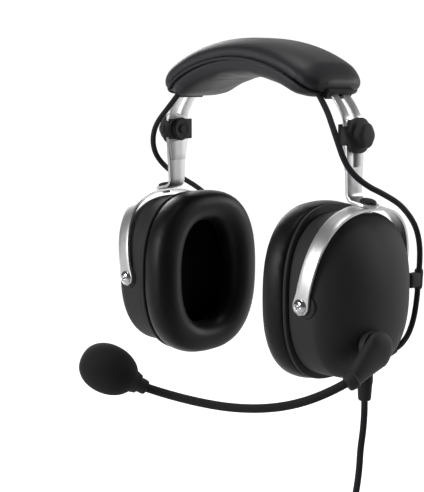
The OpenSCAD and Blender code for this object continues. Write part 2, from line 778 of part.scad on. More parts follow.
// A plug's moulded handle hanging from the end of its tail
module plug_body(at, r, len) {
    color("#151515") translate([at[0], at[1], at[2] - len]) rotate_extrude()
        polygon([[0, 0], [r - 0.8, 0], [r, 0.8], [r, len - 14],
            [r - 1.4, len - 11], [r - 2.6, len - 10], [2.9, len], [0, len]]);
}

// A plug's metal shaft, its sleeve, ring and tip
module plug_tip(at, d, sleeve, len) {
    r = d / 2;
    color("gold") translate([at[0], at[1], at[2] - len]) mirror([0, 0, 1])
        rotate_extrude() polygon([[0, 0], [r, 0], [r, sleeve],
            [r - 0.3, sleeve + 0.2], [r - 0.3, sleeve + 1],
            [r - 0.1, sleeve + 1.2], [r - 0.1, sleeve + 3],
            [r * 0.55, sleeve + 4.6], [r * 0.9, sleeve + 6.2],
            [r * 0.4, sleeve + 8.4], [0, sleeve + 8.8]]);
}

handle_len = 34;

phone_at = PHONE_TAIL[len(PHONE_TAIL) - 1];
mic_plug_at = MIC_TAIL[len(MIC_TAIL) - 1];

// ---- nodes ----

module sided(name, s) {
    if (name == "clamp_knob") clamp_knob(s);
    if (name == "clamp_screw") clamp_screw(s);
    if (name == "yoke_plate") yoke_plate(s);
    if (name == "foot_rivet") foot_rivet(s);
    if (name == "rivet_cap") rivet_cap(s);
    if (name == "cable_upper") cable(s, LINK_UPPER);
    if (name == "stirrup") stirrup(s);
    if (name == "cable_middle") cable(s, LINK_MIDDLE);
    if (name == "cup_frame") cup_frame(s);
    if (name == "cup_shell") cup_shell(s);
    if (name == "seal_flange") seal_flange(s);
    if (name == "ear_seal") ear_seal(s);
    if (name == "baffle") baffle(s);
    if (name == "speaker") speaker(s);
    if (name == "foam_liner") foam_liner(s);
    if (name == "pivot_screws") pivot_screws(s);
    if (name == "cable_clips") cable_clips(s);
    if (name == "cable_lower") cable(s, LINK_LOWER);
}

head_spring();
pad_cover();
pad_cushion();
pad_ends();
guide_plates();
clamp_nuts();
crossover_cable();
for (name = SIDED) {
    sided(name, 1);
    sided(name, -1);
}
preamp_board();
boom_hub();
boom_arm();
boom_tube();
mic_collar();
mic_capsule();
windscreen();
strain_relief();
cord_tube();
cord_coil();
cord_splitter();
tail(PHONE_TAIL);  // phone_tail
tail(MIC_TAIL);  // mic_tail
plug_body(phone_at, 6, handle_len);  // phone_plug_body
plug_tip(phone_at, phone_plug_d, phone_sleeve, handle_len);  // phone_plug_tip
plug_body(mic_plug_at, 5.6, handle_len);  // mic_plug_body
plug_tip(mic_plug_at, mic_plug_d, mic_sleeve, handle_len);  // mic_plug_tip

module tail(route) {
    color("#18181a") tube(smooth(route, 2), tail_d, 8, [1, 0, 0]);
}
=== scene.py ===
"""Looks of a corded aviation headset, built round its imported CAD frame.

Sizes are written in millimetres and turned into metres where a mesh is made.
+X is the wearer's left, -Y is the way the face looks and +Z is up.
"""

from __future__ import annotations

import json
import logging
import math
from dataclasses import dataclass
from enum import Enum
from typing import Callable, Sequence

import bmesh
import bpy
from mathutils import Matrix, Vector

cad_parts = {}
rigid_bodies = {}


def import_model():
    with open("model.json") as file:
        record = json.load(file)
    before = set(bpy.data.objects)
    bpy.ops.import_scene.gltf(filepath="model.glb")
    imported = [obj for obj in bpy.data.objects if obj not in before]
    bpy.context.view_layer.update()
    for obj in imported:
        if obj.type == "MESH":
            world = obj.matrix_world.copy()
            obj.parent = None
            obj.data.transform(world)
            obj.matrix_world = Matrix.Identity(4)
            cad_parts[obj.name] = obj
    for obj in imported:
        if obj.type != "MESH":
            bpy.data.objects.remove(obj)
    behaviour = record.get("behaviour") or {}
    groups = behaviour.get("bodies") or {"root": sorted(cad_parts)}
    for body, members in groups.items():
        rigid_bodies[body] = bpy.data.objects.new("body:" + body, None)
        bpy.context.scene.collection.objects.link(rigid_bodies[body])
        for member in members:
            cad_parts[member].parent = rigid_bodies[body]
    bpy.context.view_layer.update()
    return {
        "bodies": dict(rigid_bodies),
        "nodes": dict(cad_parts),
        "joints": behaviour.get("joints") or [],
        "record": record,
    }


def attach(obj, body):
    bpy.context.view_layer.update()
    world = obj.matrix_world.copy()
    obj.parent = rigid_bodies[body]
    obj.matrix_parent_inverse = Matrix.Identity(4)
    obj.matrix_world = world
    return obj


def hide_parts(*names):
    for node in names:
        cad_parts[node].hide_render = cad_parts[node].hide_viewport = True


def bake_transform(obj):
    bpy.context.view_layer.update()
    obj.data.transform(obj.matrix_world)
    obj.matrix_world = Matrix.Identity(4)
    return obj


LOG = logging.getLogger("headset")
MM = 0.001
CLOTH_STIFFNESS = 30.0
CLOTH_FRAMES = 20
# Where a cup's pivot screws lie, outwards and up
PIVOT_X, PIVOT_Z = 72.7, -1.6
Place = Callable[[float, float], Vector]
Cut = Callable[[float, float], bool]
Route = Sequence[Vector]


class Side(Enum):
    """One side of the headset, by its sign along X."""

    LEFT = 1
    RIGHT = -1

    @property
    def prefix(self) -> str:
        """The start of this side's node and body names."""
        return "left_" if self is Side.LEFT else "right_"

    def at(self, x: float, y: float, z: float) -> Vector:
        """A point given for the wearer's left, moved to this side."""
        return Vector((self.value * x, y, z))


# ---------------------------------------------------------------- finishes


class Shader:
    """Lays out the nodes of one material or shader group."""

    def __init__(self, tree: bpy.types.NodeTree) -> None:
        """Starts with an empty tree."""
        self.tree = tree
        tree.nodes.clear()

    def node(self, kind: str, values: dict[str | int, object] | None = None,
             **settings: object) -> bpy.types.Node:
        """Adds a node.

        Args:
            kind: the node's type, without its ShaderNode start.
            values: what its inputs are set to, by name or by place.
            **settings: the node's own properties.

        Returns:
            The new node.
        """
        made = self.tree.nodes.new(f"ShaderNode{kind}")
        for name, value in settings.items():
            setattr(made, name, value)
        for name, value in (values or {}).items():
            made.inputs[name].default_value = value
        return made

    def link(self, out: bpy.types.NodeSocket, into: bpy.types.NodeSocket) -> None:
        """Joins two sockets."""
        self.tree.links.new(out, into)

    def mapped(
        self, source: bpy.types.NodeSocket, low: float, high: float
    ) -> bpy.types.NodeSocket:
        """Turns a mask from 0 to 1 into a value from low to high."""
        made = self.node("MapRange", {"To Min": low, "To Max": high})
        self.link(source, made.inputs["Value"])
        return made.outputs["Result"]


class Relief(Enum):
    """The kinds of fine relief that a surface may have."""

    GRAIN = "pebbled hide"
    PORES = "open foam"
    MOULD = "moulded plastic"
    BRUSH = "brushed along its length"


def relief_group(kind: Relief) -> bpy.types.NodeTree:
    """Makes, once, the shader group of a kind of relief.

    Args:
        kind: which relief.

    Returns:
        The group, with Scale and Depth inputs and Mask and Normal outputs.
    """
    name = f"relief_{kind.name.lower()}"
    if name in bpy.data.node_groups:
        return bpy.data.node_groups[name]
    tree = bpy.data.node_groups.new(name, "ShaderNodeTree")
    for label, way, holds in (("Scale", "INPUT", "Float"), ("Depth", "INPUT", "Float"),
                              ("Mask", "OUTPUT", "Float"), ("Normal", "OUTPUT", "Vector")):
        tree.interface.new_socket(label, in_out=way, socket_type=f"NodeSocket{holds}")
    shader = Shader(tree)
    enter = tree.nodes.new("NodeGroupInput")
    leave = tree.nodes.new("NodeGroupOutput")
    where = shader.node("TexCoord")
    noise = shader.node("TexNoise", {"Detail": 6.0 if kind is Relief.BRUSH else 4.0})
    if kind is Relief.BRUSH:
        stretch = shader.node("Mapping", {"Scale": (1.0, 0.022, 1.0)})
        shader.link(where.outputs["UV"], stretch.inputs["Vector"])
        shader.link(stretch.outputs["Vector"], noise.inputs["Vector"])
    else:
        shader.link(where.outputs["Object"], noise.inputs["Vector"])
    shader.link(enter.outputs["Scale"], noise.inputs["Scale"])
    height = noise.outputs["Fac"]
    if kind in (Relief.GRAIN, Relief.PORES):
        hide = kind is Relief.GRAIN
        cells = shader.node("TexVoronoi", feature="DISTANCE_TO_EDGE" if hide else "F1")
        shader.link(where.outputs["Object"], cells.inputs["Vector"])
        shader.link(enter.outputs["Scale"], cells.inputs["Scale"])
        both = shader.node("Math", {1: 0.9 if hide else 0.7}, operation="MULTIPLY_ADD")
        shader.link(cells.outputs["Distance"], both.inputs[0])
        shader.link(noise.outputs["Fac"], both.inputs[2])
        height = both.outputs["Value"]
    bump = shader.node("Bump")
    shader.link(height, bump.inputs["Height"])
    shader.link(enter.outputs["Depth"], bump.inputs["Distance"])
    shader.link(height, leave.inputs["Mask"])
    shader.link(bump.outputs["Normal"], leave.inputs["Normal"])
    return tree


@dataclass(frozen=True)
class Finish:
    """A surface finish: two shades of one colour, its gloss and its relief."""

    name: str
    dark: tuple[float, float, float]
    light: tuple[float, float, float]
    rough: tuple[float, float]
    relief: Relief = Relief.MOULD
    scale: float = 900.0
    depth: float = 0.00004
    metallic: float = 0.0
    sheen: float = 0.0
    specular: float = 0.28
    anisotropic: float = 0.0
    mottle: float = 38.0

    def material(self) -> bpy.types.Material:
        """Makes this finish's material, once."""
        if self.name in bpy.data.materials:
            return bpy.data.materials[self.name]
        made = bpy.data.materials.new(self.name)
        made.use_nodes = True
        shader = Shader(made.node_tree)
        out = shader.node("OutputMaterial")
        body = shader.node("BsdfPrincipled", {
            "Metallic": self.metallic, "Sheen Weight": self.sheen,
            "Sheen Roughness": 0.4, "Specular IOR Level": self.specular,
            "Anisotropic": self.anisotropic})
        relief = shader.node("Group", {"Scale": self.scale, "Depth": self.depth},
                             node_tree=relief_group(self.relief))
        where = shader.node("TexCoord")
        cloud = shader.node("TexNoise", {"Scale": self.mottle, "Detail": 3.0})
        shader.link(where.outputs["Object"], cloud.inputs["Vector"])
        blend = shader.node("Math", operation="MULTIPLY")
        shader.link(cloud.outputs["Fac"], blend.inputs[0])
        shader.link(relief.outputs["Mask"], blend.inputs[1])
        widened = shader.node("MapRange", {"From Min": 0.1, "From Max": 0.45})
        shader.link(blend.outputs["Value"], widened.inputs["Value"])
        shade = shader.node("Mix", {"A": (*self.dark, 1.0), "B": (*self.light, 1.0)},
                            data_type="RGBA")
        shader.link(widened.outputs["Result"], shade.inputs["Factor"])
        shader.link(shade.outputs["Result"], body.inputs["Base Color"])
        shader.link(shader.mapped(cloud.outputs["Fac"], *self.rough),
                    body.inputs["Roughness"])
        shader.link(relief.outputs["Normal"], body.inputs["Normal"])
        shader.link(body.outputs["BSDF"], out.inputs["Surface"])
        return made

    def dress(self, piece: bpy.types.Object) -> None:
        """Gives a piece this finish in place of any it has."""
        piece.data.materials.clear()
        piece.data.materials.append(self.material())


def grey(value: float) -> tuple[float, float, float]:
    """A colour with the same value in each channel."""
    return (value, value, value)


BLACK = grey(0.003), grey(0.007)
LEATHERETTE = Finish("leatherette", grey(0.004), grey(0.010),
                     (0.36, 0.48), Relief.GRAIN, 1500.0, 0.00005, sheen=0.03,
                     specular=0.3)
SEAL_SKIN = Finish("seal_skin", grey(0.003), grey(0.008),
                   (0.38, 0.5), Relief.GRAIN, 2300.0, 0.00003, sheen=0.02,
                   specular=0.26)
CUP_PLASTIC = Finish("cup_plastic", grey(0.003), grey(0.006),
                     (0.34, 0.44), Relief.MOULD, 2600.0, 0.00002)
BLACK_PLASTIC = Finish("black_plastic", *BLACK,
                       (0.4, 0.52), Relief.MOULD, 1800.0, 0.00003)
KNOB_PLASTIC = Finish("knob_plastic", grey(0.006), grey(0.013),
                      (0.4, 0.52), Relief.MOULD, 2400.0, 0.00005, specular=0.6)
INNER_PLASTIC = Finish("inner_plastic", grey(0.003),
                       grey(0.006), (0.6, 0.75))
FOAM = Finish("foam", grey(0.001), grey(0.008), (0.85, 1.0),
              Relief.PORES, 1500.0, 0.00030, sheen=0.02, specular=0.15)
EAR_FOAM = Finish("ear_foam", grey(0.0008), grey(0.003),
                  (0.9, 1.0), Relief.PORES, 1200.0, 0.00020, specular=0.05)
CABLE_JACKET = Finish("cable_jacket", *BLACK,
                      (0.36, 0.5), Relief.MOULD, 1200.0, 0.00003)
BOOM_SLEEVE = Finish("boom_sleeve", *BLACK,
                     (0.34, 0.48), Relief.MOULD, 1500.0, 0.00004, specular=0.35)
CORD_RUBBER = Finish("cord_rubber", *BLACK,
                     (0.48, 0.62), Relief.MOULD, 1500.0, 0.00004)
BRUSHED_STEEL = Finish("brushed_steel", grey(0.40), grey(0.62),
                       (0.24, 0.34), Relief.BRUSH, 90.0, 0.00002, metallic=1.0,
                       anisotropic=0.5, specular=0.5)
BRIGHT_STEEL = Finish("bright_steel", grey(0.40), grey(0.55),
                      (0.22, 0.34), Relief.MOULD, 1200.0, 0.00001, metallic=1.0,
                      specular=0.5)
PLUG_METAL = Finish("plug_metal", (0.72, 0.52, 0.24), (0.85, 0.66, 0.34),
                    (0.12, 0.24), Relief.MOULD, 1000.0, 0.00001, metallic=1.0,
                    specular=0.5)
BOARD = Finish("circuit_board", (0.006, 0.05, 0.02), (0.012, 0.09, 0.035),
               (0.35, 0.5))
SPEAKER = Finish("speaker_plastic", grey(0.03), grey(0.06),
                 (0.5, 0.65))


# ---------------------------------------------------------------- shaping


def flow(points: Sequence[Vector], steps: int) -> list[Vector]:
    """Points on a smooth curve through the given ones.

    Args:
        points: the curve's own points.
        steps: how many spans each gap is cut into.

    Returns:
        The curve's points, with both ends kept.
    """
    last = len(points) - 1
    made: list[Vector] = []
    for i in range(last):
        a, b = points[max(i - 1, 0)], points[i]
        c, d = points[i + 1], points[min(i + 2, last)]
        for j in range(steps):
            t = j / steps
            made.append(0.5 * (2 * b + (c - a) * t
                               + (2 * a - 5 * b + 4 * c - d) * t * t
                               + (3 * b - a - 3 * c + d) * t ** 3))
    return made + [points[last].copy()]


def eased(points: Route, passes: int) -> list[Vector]:
    """A route with its kinks eased out and its ends kept."""
    made = [p.copy() for p in points]
    for _ in range(passes):
        made = [made[0]] + [(a + 2 * b + c) / 4 for a, b, c
                            in zip(made, made[1:], made[2:])] + [made[-1]]
    return made


def trace(points: Sequence[tuple[float, ...]], side: Side = Side.LEFT) -> list[Vector]:
    """Turns rows of numbers, in millimetres, into points on one side."""
    return [side.at(*p) for p in points]


def along(points: Route, t: float) -> Vector:
    """The point at share t of a route's steps."""
    spot = min(max(t, 0.0), 1.0) * (len(points) - 1)
    i = min(int(spot), len(points) - 2)
    return points[i].lerp(points[i + 1], spot - i)


def eased_step(value: float) -> float:
    """A smooth step that rises from 0 to 1 as the value does."""
    t = min(max(value, 0.0), 1.0)
    return t * t * (3 - 2 * t)


def superoval(turn: float, half_w: float, half_h: float, power: float) -> tuple[float, float]:
    """A rounded oval's point.

    Args:
        turn: share of a full turn. A whole turn is back at the start.
        half_w: half of the width.
        half_h: half of the height.
        power: 2 for an ellipse, more for squarer corners.

    Returns:
        The point across and up.
    """
    turn = math.tau * (0 if turn >= 1 else turn)
    c, s = math.cos(turn), math.sin(turn)
    return (half_w * math.copysign(abs(c) ** (2 / power), c),
            half_h * math.copysign(abs(s) ** (2 / power), s))


def added(name: str, data: bpy.types.ID) -> bpy.types.Object:
    """Makes an object from its data and puts it in the scene."""
    made = bpy.data.objects.new(name, data)
    bpy.context.scene.collection.objects.link(made)
    return made


def unwrapped_bmesh() -> bmesh.types.BMesh:
    """An empty bmesh with a UV layer."""
    bm = bmesh.new()
    bm.loops.layers.uv.new("UVMap")
    return bm


def finished(bm: bmesh.types.BMesh, name: str, sharp: float = 38.0) -> bpy.types.Object:
    """Turns a bmesh in millimetres into an object at the origin.

    Args:
        bm: the shape, which is freed.
        name: the piece's name.
        sharp: edges that bend more than this many degrees stay sharp.

    Returns:
        The new object.
    """
    bmesh.ops.scale(bm, vec=(MM, MM, MM), verts=bm.verts)
    bmesh.ops.recalc_face_normals(bm, faces=bm.faces)
    mesh = bpy.data.meshes.new(name)
    bm.to_mesh(mesh)
    bm.free()
    mesh.shade_smooth()
    mesh.set_sharp_from_angle(angle=math.radians(sharp))
    return added(name, mesh)


def walled(piece: bpy.types.Object, thick: float, offset: float) -> bpy.types.Modifier:
    """Gives a sheet its thickness, in millimetres."""
    wall = piece.modifiers.new("wall", "SOLIDIFY")
    wall.thickness = thick * MM
    wall.offset = offset
    return wall


def softened(piece: bpy.types.Object) -> None:
    """Rounds a piece off with one level of subdivision."""
    soft = piece.modifiers.new("soft", "SUBSURF")
    soft.levels = 1
    soft.render_levels = 1


def draped_grid(cols: int, rows: int, place: Place) -> bmesh.types.BMesh:
    """Lays a flat grid over a curved form and welds where its edges meet.

    Args:
        cols: faces along u.
        rows: faces along v.
        place: gives the point, in millimetres, for u and v from 0 to 1.

    Returns:
        The welded grid, with a UV layer.
    """
    bm = unwrapped_bmesh()
    bmesh.ops.create_grid(bm, x_segments=cols, y_segments=rows, size=0.5,
                          calc_uvs=True)
    for vert in bm.verts:
        u = round((vert.co.x + 0.5) * cols) / cols
        v = round((vert.co.y + 0.5) * rows) / rows
        vert.co = place(u, v)
    bmesh.ops.remove_doubles(bm, verts=bm.verts, dist=0.002)
    bmesh.ops.dissolve_degenerate(bm, edges=bm.edges, dist=0.001)
    return bm


def skin(name: str, cols: int, rows: int, place: Place, sharp: float = 38.0,
         capped: bool = True) -> bpy.types.Object:
    """Makes a closed piece from a grid laid over a curved form.

    Args:
        name: the piece's name.
        cols: faces along u.
        rows: faces along v.
        place: gives the point, in millimetres, for u and v from 0 to 1.
        sharp: edges that bend more than this many degrees stay sharp.
        capped: whether open ends are filled.

    Returns:
        The piece.
    """
    bm = draped_grid(cols, rows, place)
    if capped:
        bmesh.ops.holes_fill(bm, edges=bm.edges, sides=0)
    return finished(bm, name, sharp)


def frames(points: Route, across: Vector) -> list[tuple[Vector, Vector, Vector]]:
    """Directions along a route, carried without twisting.

    Args:
        points: the route.
        across: the first direction across it.

    Returns:
        For each point its place and the two directions across.
    """
    made = []
    last = len(points) - 1
    for i, p in enumerate(points):
        ahead = (points[min(i + 1, last)] - points[max(i - 1, 0)]).normalized()
        across = (across - across.dot(ahead) * ahead).normalized()
        made.append((p, across, ahead.cross(across)))
    return made


def hose(name: str, points: Route, radius: float | Callable[[float], float],
         sides: int = 16, closed: bool = False) -> bpy.types.Object:
    """A round tube along a route.

    Args:
        name: the piece's name.
        points: the route, in millimetres.
        radius: the radius, or its value at a share of the route.
        sides: faces round it.
        closed: whether the route's last point meets its first.

    Returns:
        The piece.
    """
    spots = frames(points, Vector((0.31, 0.87, 0.4)))
    rows = len(points) - 1

    def place(u: float, v: float) -> Vector:
        p, a, b = spots[0 if closed and v >= 1 else round(v * rows)]
        r = radius(v) if callable(radius) else radius
        turn = math.tau * (0 if u >= 1 else u)
        return p + r * (math.cos(turn) * a + math.sin(turn) * b)

    return skin(name, sides, rows, place, 50.0, not closed)


def turned(name: str, profile: Sequence[tuple[float, float]], at: Vector, axis: Vector,
           steps: int = 40, sharp: float = 32.0) -> bpy.types.Object:
    """A piece spun from a profile round an axis.

    Args:
        name: the piece's name.
        profile: radius and distance along the axis, from one end to the other.
        at: where the axis starts, in millimetres.
        axis: the way it points.
        steps: faces round it.
        sharp: edges that bend more than this many degrees stay sharp.

    Returns:
        The piece.
    """
    bm = unwrapped_bmesh()
    verts = [bm.verts.new((r, 0.0, h)) for r, h in profile]
    edges = [bm.edges.new(pair) for pair in zip(verts, verts[1:])]
    bmesh.ops.spin(bm, geom=verts + edges, cent=(0, 0, 0), axis=(0, 0, 1), dvec=(0, 0, 0),
                   angle=math.tau, steps=steps, use_merge=True, use_duplicate=False)
    bmesh.ops.remove_doubles(bm, verts=bm.verts, dist=0.002)
    bmesh.ops.holes_fill(bm, edges=bm.edges, sides=0)
    turn = axis.to_track_quat("Z", "Y").to_matrix().to_4x4()
    bmesh.ops.transform(bm, matrix=Matrix.Translation(at) @ turn, verts=bm.verts)
    return finished(bm, name, sharp)


def block(name: str, low: Sequence[float], high: Sequence[float], round_by: float,
          side: Side = Side.LEFT) -> bpy.types.Object:
    """A moulded block with rounded edges, between two corners."""
    bm = unwrapped_bmesh()
    size = [h - a for a, h in zip(low, high)]
    middle = side.at(*[(a + h) / 2 for a, h in zip(low, high)])
    bmesh.ops.create_cube(bm, size=1.0, calc_uvs=True)
    bmesh.ops.scale(bm, vec=size, verts=bm.verts)
    bmesh.ops.bevel(bm, geom=list(bm.edges), offset=round_by, segments=4, profile=0.5,
                    affect="EDGES", material=-1)
    bmesh.ops.translate(bm, vec=middle, verts=bm.verts)
    return finished(bm, name, 30.0)


def plate(name: str, across: Sequence[float], rows: int, place: Place, cut: Cut,
          thick: float) -> bpy.types.Object:
    """A bent strip of sheet metal, with openings.

    Args:
        name: the piece's name.
        across: the stations across the strip, from -1 to 1.
        rows: faces along the strip.
        place: gives the middle surface's point for a station and a share along.
        cut: says whether the sheet is cut away at a station and a share.
        thick: the sheet's thickness.

    Returns:
        The piece.
    """
    bm = unwrapped_bmesh()
    cols = len(across) - 1
    bmesh.ops.create_grid(bm, x_segments=cols, y_segments=rows, size=0.5,
                          calc_uvs=True)
    gone = []
    for face in bm.faces:
        c = face.calc_center_median()
        i = int((c.x + 0.5) * cols)
        if cut((across[i] + across[i + 1]) / 2, c.y + 0.5):
            gone.append(face)
    bmesh.ops.delete(bm, geom=gone, context="FACES")
    for vert in bm.verts:
        i = round((vert.co.x + 0.5) * cols)
        vert.co = place(across[i], round((vert.co.y + 0.5) * rows) / rows)
    bmesh.ops.remove_doubles(bm, verts=bm.verts, dist=0.002)
    piece = finished(bm, name, 60.0)
    walled(piece, thick, 0.0).use_even_offset = True
    edge = piece.modifiers.new("edge", "BEVEL")
    edge.width = 0.3 * MM
    edge.segments = 2
    edge.limit_method = "ANGLE"
    edge.angle_limit = math.radians(50)
    return piece


def swell(piece: bpy.types.Object, voxel: float, cap: float, pressure: float = 4.0) -> None:
    """Puffs a closed piece up as cloth, and keeps the result in its mesh.

    Args:
        piece: the piece, whose mesh is replaced.
        voxel: size of the remesh, in millimetres.
        cap: the furthest that a point may move, in millimetres.
        pressure: the air inside.
    """
    remesh = piece.modifiers.new("even", "REMESH")
    remesh.mode = "VOXEL"
    remesh.voxel_size = voxel * MM
    keep_shape(piece)
    rest = [v.co.copy() for v in piece.data.vertices]
    cloth = piece.modifiers.new("air", "CLOTH")
    cloth.settings.use_pressure = True
    cloth.settings.uniform_pressure_force = pressure
    cloth.settings.effector_weights.gravity = 0.0
    cloth.settings.tension_stiffness = CLOTH_STIFFNESS
    cloth.settings.compression_stiffness = CLOTH_STIFFNESS
    cloth.point_cache.frame_start = 1
    cloth.point_cache.frame_end = CLOTH_FRAMES
    for frame in range(1, CLOTH_FRAMES + 1):
        bpy.context.scene.frame_set(frame)
    keep_shape(piece)
    for vert, was in zip(piece.data.vertices, rest):
        moved = vert.co - was
        if moved.length > cap * MM:
            vert.co = was + moved.normalized() * cap * MM
    bpy.context.scene.frame_set(1)
    bm = bmesh.new()
    bm.from_mesh(piece.data)
    for _ in range(2):
        bmesh.ops.smooth_vert(bm, verts=bm.verts, factor=0.5, use_axis_x=True,
                              use_axis_y=True, use_axis_z=True)
    bm.to_mesh(piece.data)
    bm.free()
    piece.data.shade_smooth()
    softened(piece)


def keep_shape(piece: bpy.types.Object) -> None:
    """Applies a piece's modifiers to its mesh."""
    graph = bpy.context.evaluated_depsgraph_get()
    graph.update()
    made = bpy.data.meshes.new_from_object(piece.evaluated_get(graph))
    piece.modifiers.clear()
    old = piece.data
    piece.data = made
    bpy.data.meshes.remove(old)


def fit(piece: bpy.types.Object, finish: Finish, slot: str, body: str,
        *nodes: str) -> bpy.types.Object:
    """Dresses a piece and joins it to the frame.

    Args:
        piece: the piece.
        finish: its finish.
        slot: the record's material slot. Not used.
        body: the CAD body that it rides on, or an empty string to leave it on no body.
        *nodes: the CAD nodes that it stands for.

    Returns:
        The same piece.
    """
    finish.dress(piece)
    if body:
        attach(piece, body)
    if nodes:
        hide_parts(*nodes)
    LOG.info("%s: %d vertices", piece.name,
             len(piece.data.vertices) if piece.type == "MESH" else 0)
    return piece


# ---------------------------------------------------------------- studio


@dataclass(frozen=True)
class Studio:
    """The camera, the pale sweep that the headset is seen against, and the lamps."""

    camera_at: tuple[float, float, float] = (0.49589, -0.54988, 0.12162)
    camera_turn: tuple[float, float, float] = (82.26, 0.0, 44.30)
    lens: float = 87.66
    floor_z: float = -0.345
    dim: float = 0.07
    bright: float = 1.05
    ahead: tuple[float, float, float] = (-0.698, 0.716, 0.0)
    aim: tuple[float, float, float] = (0.0, 0.0, 0.03)

    def camera(self) -> None:
        """Makes the camera."""
        data = bpy.data.cameras.new("camera")
        data.lens = self.lens
        data.sensor_width = 36.0
        made = added("camera", data)
        made.location = self.camera_at
        made.rotation_euler = [math.radians(a) for a in self.camera_turn]
        bpy.context.scene.camera = made

    def lamp(self, name: str, at: tuple[float, float, float], size: float,
             power: float) -> None:
        """Adds a soft lamp that points at the headset."""
        data = bpy.data.lights.new(name, "AREA")
        data.shape = "DISK"
        data.size = size
        data.energy = power
        made = added(name, data)
        made.location = at
        way = Vector(self.aim) - Vector(at)
        made.rotation_euler = way.to_track_quat("-Z", "Y").to_euler()

    def rise(self, shader: Shader, source: str, span: tuple[float, float],
             values: tuple[float, float]) -> bpy.types.NodeSocket:
        """A value that rises smoothly towards the side that lies ahead.

        Args:
            shader: where the nodes go.
            source: which coordinates are read.
            span: how far ahead the rise starts and ends.
            values: the value before the rise and after it.

        Returns:
            The value's socket.
        """
        where = shader.node("TexCoord")
        facing = shader.node("VectorMath", {1: self.ahead}, operation="DOT_PRODUCT")
        risen = shader.node("MapRange", {"From Min": span[0], "From Max": span[1],
                                         "To Min": values[0], "To Max": values[1]},
                            interpolation_type="SMOOTHSTEP")
        shader.link(where.outputs[source], facing.inputs[0])
        shader.link(facing.outputs["Value"], risen.inputs["Value"])
        return risen.outputs["Result"]

    def floor(self) -> None:
        """Makes the pale floor, which glows softly away from the headset."""
        bm = bmesh.new()
        bmesh.ops.create_circle(bm, cap_ends=True, segments=96, radius=9000.0)
        bmesh.ops.translate(bm, vec=(0, 0, self.floor_z / MM), verts=bm.verts)
        floor = finished(bm, "floor")
        made = bpy.data.materials.new("pale_floor")
        made.use_nodes = True
        shader = Shader(made.node_tree)
        out = shader.node("OutputMaterial")
        body = shader.node("BsdfPrincipled", {
            "Base Color": (0.5, 0.5, 0.5, 1.0), "Roughness": 0.8,
            "Specular IOR Level": 0.1, "Emission Color": (1.0, 1.0, 1.0, 1.0)})
        glow = self.rise(shader, "Object", (-0.1, 0.66), (0.12, 1.0))
        shader.link(glow, body.inputs["Emission Strength"])
        shader.link(body.outputs["BSDF"], out.inputs["Surface"])
        floor.data.materials.append(made)

    def room(self) -> None:
        """Makes the room's light: bright behind the headset, dim elsewhere."""
        world = bpy.data.worlds.new("room")
        world.use_nodes = True
        shader = Shader(world.node_tree)
        out = shader.node("OutputWorld")
        sky = shader.node("Background", {"Color": (1.0, 1.0, 1.0, 1.0)})
        light = self.rise(shader, "Generated", (0.55, 0.93), (self.dim, self.bright))
        shader.link(light, sky.inputs["Strength"])
        shader.link(sky.outputs["Background"], out.inputs["Surface"])
        bpy.context.scene.world = world

    def build(self) -> None:
        """Makes the floor, the room's light and the lamps."""
        self.floor()
        self.room()
        bpy.context.scene.view_settings.view_transform = "Standard"
        self.lamp("key", (-0.5, -1.35, 0.38), 0.6, 10.0)
        self.lamp("top", (0.1, 0.1, 1.3), 0.6, 6.0)
        self.lamp("side", (0.61, 1.16, 0.33), 0.32, 4.6)
        self.lamp("rear", (-1.0, 0.5, 0.6), 0.6, 6.0)


# ---------------------------------------------------------------- cords


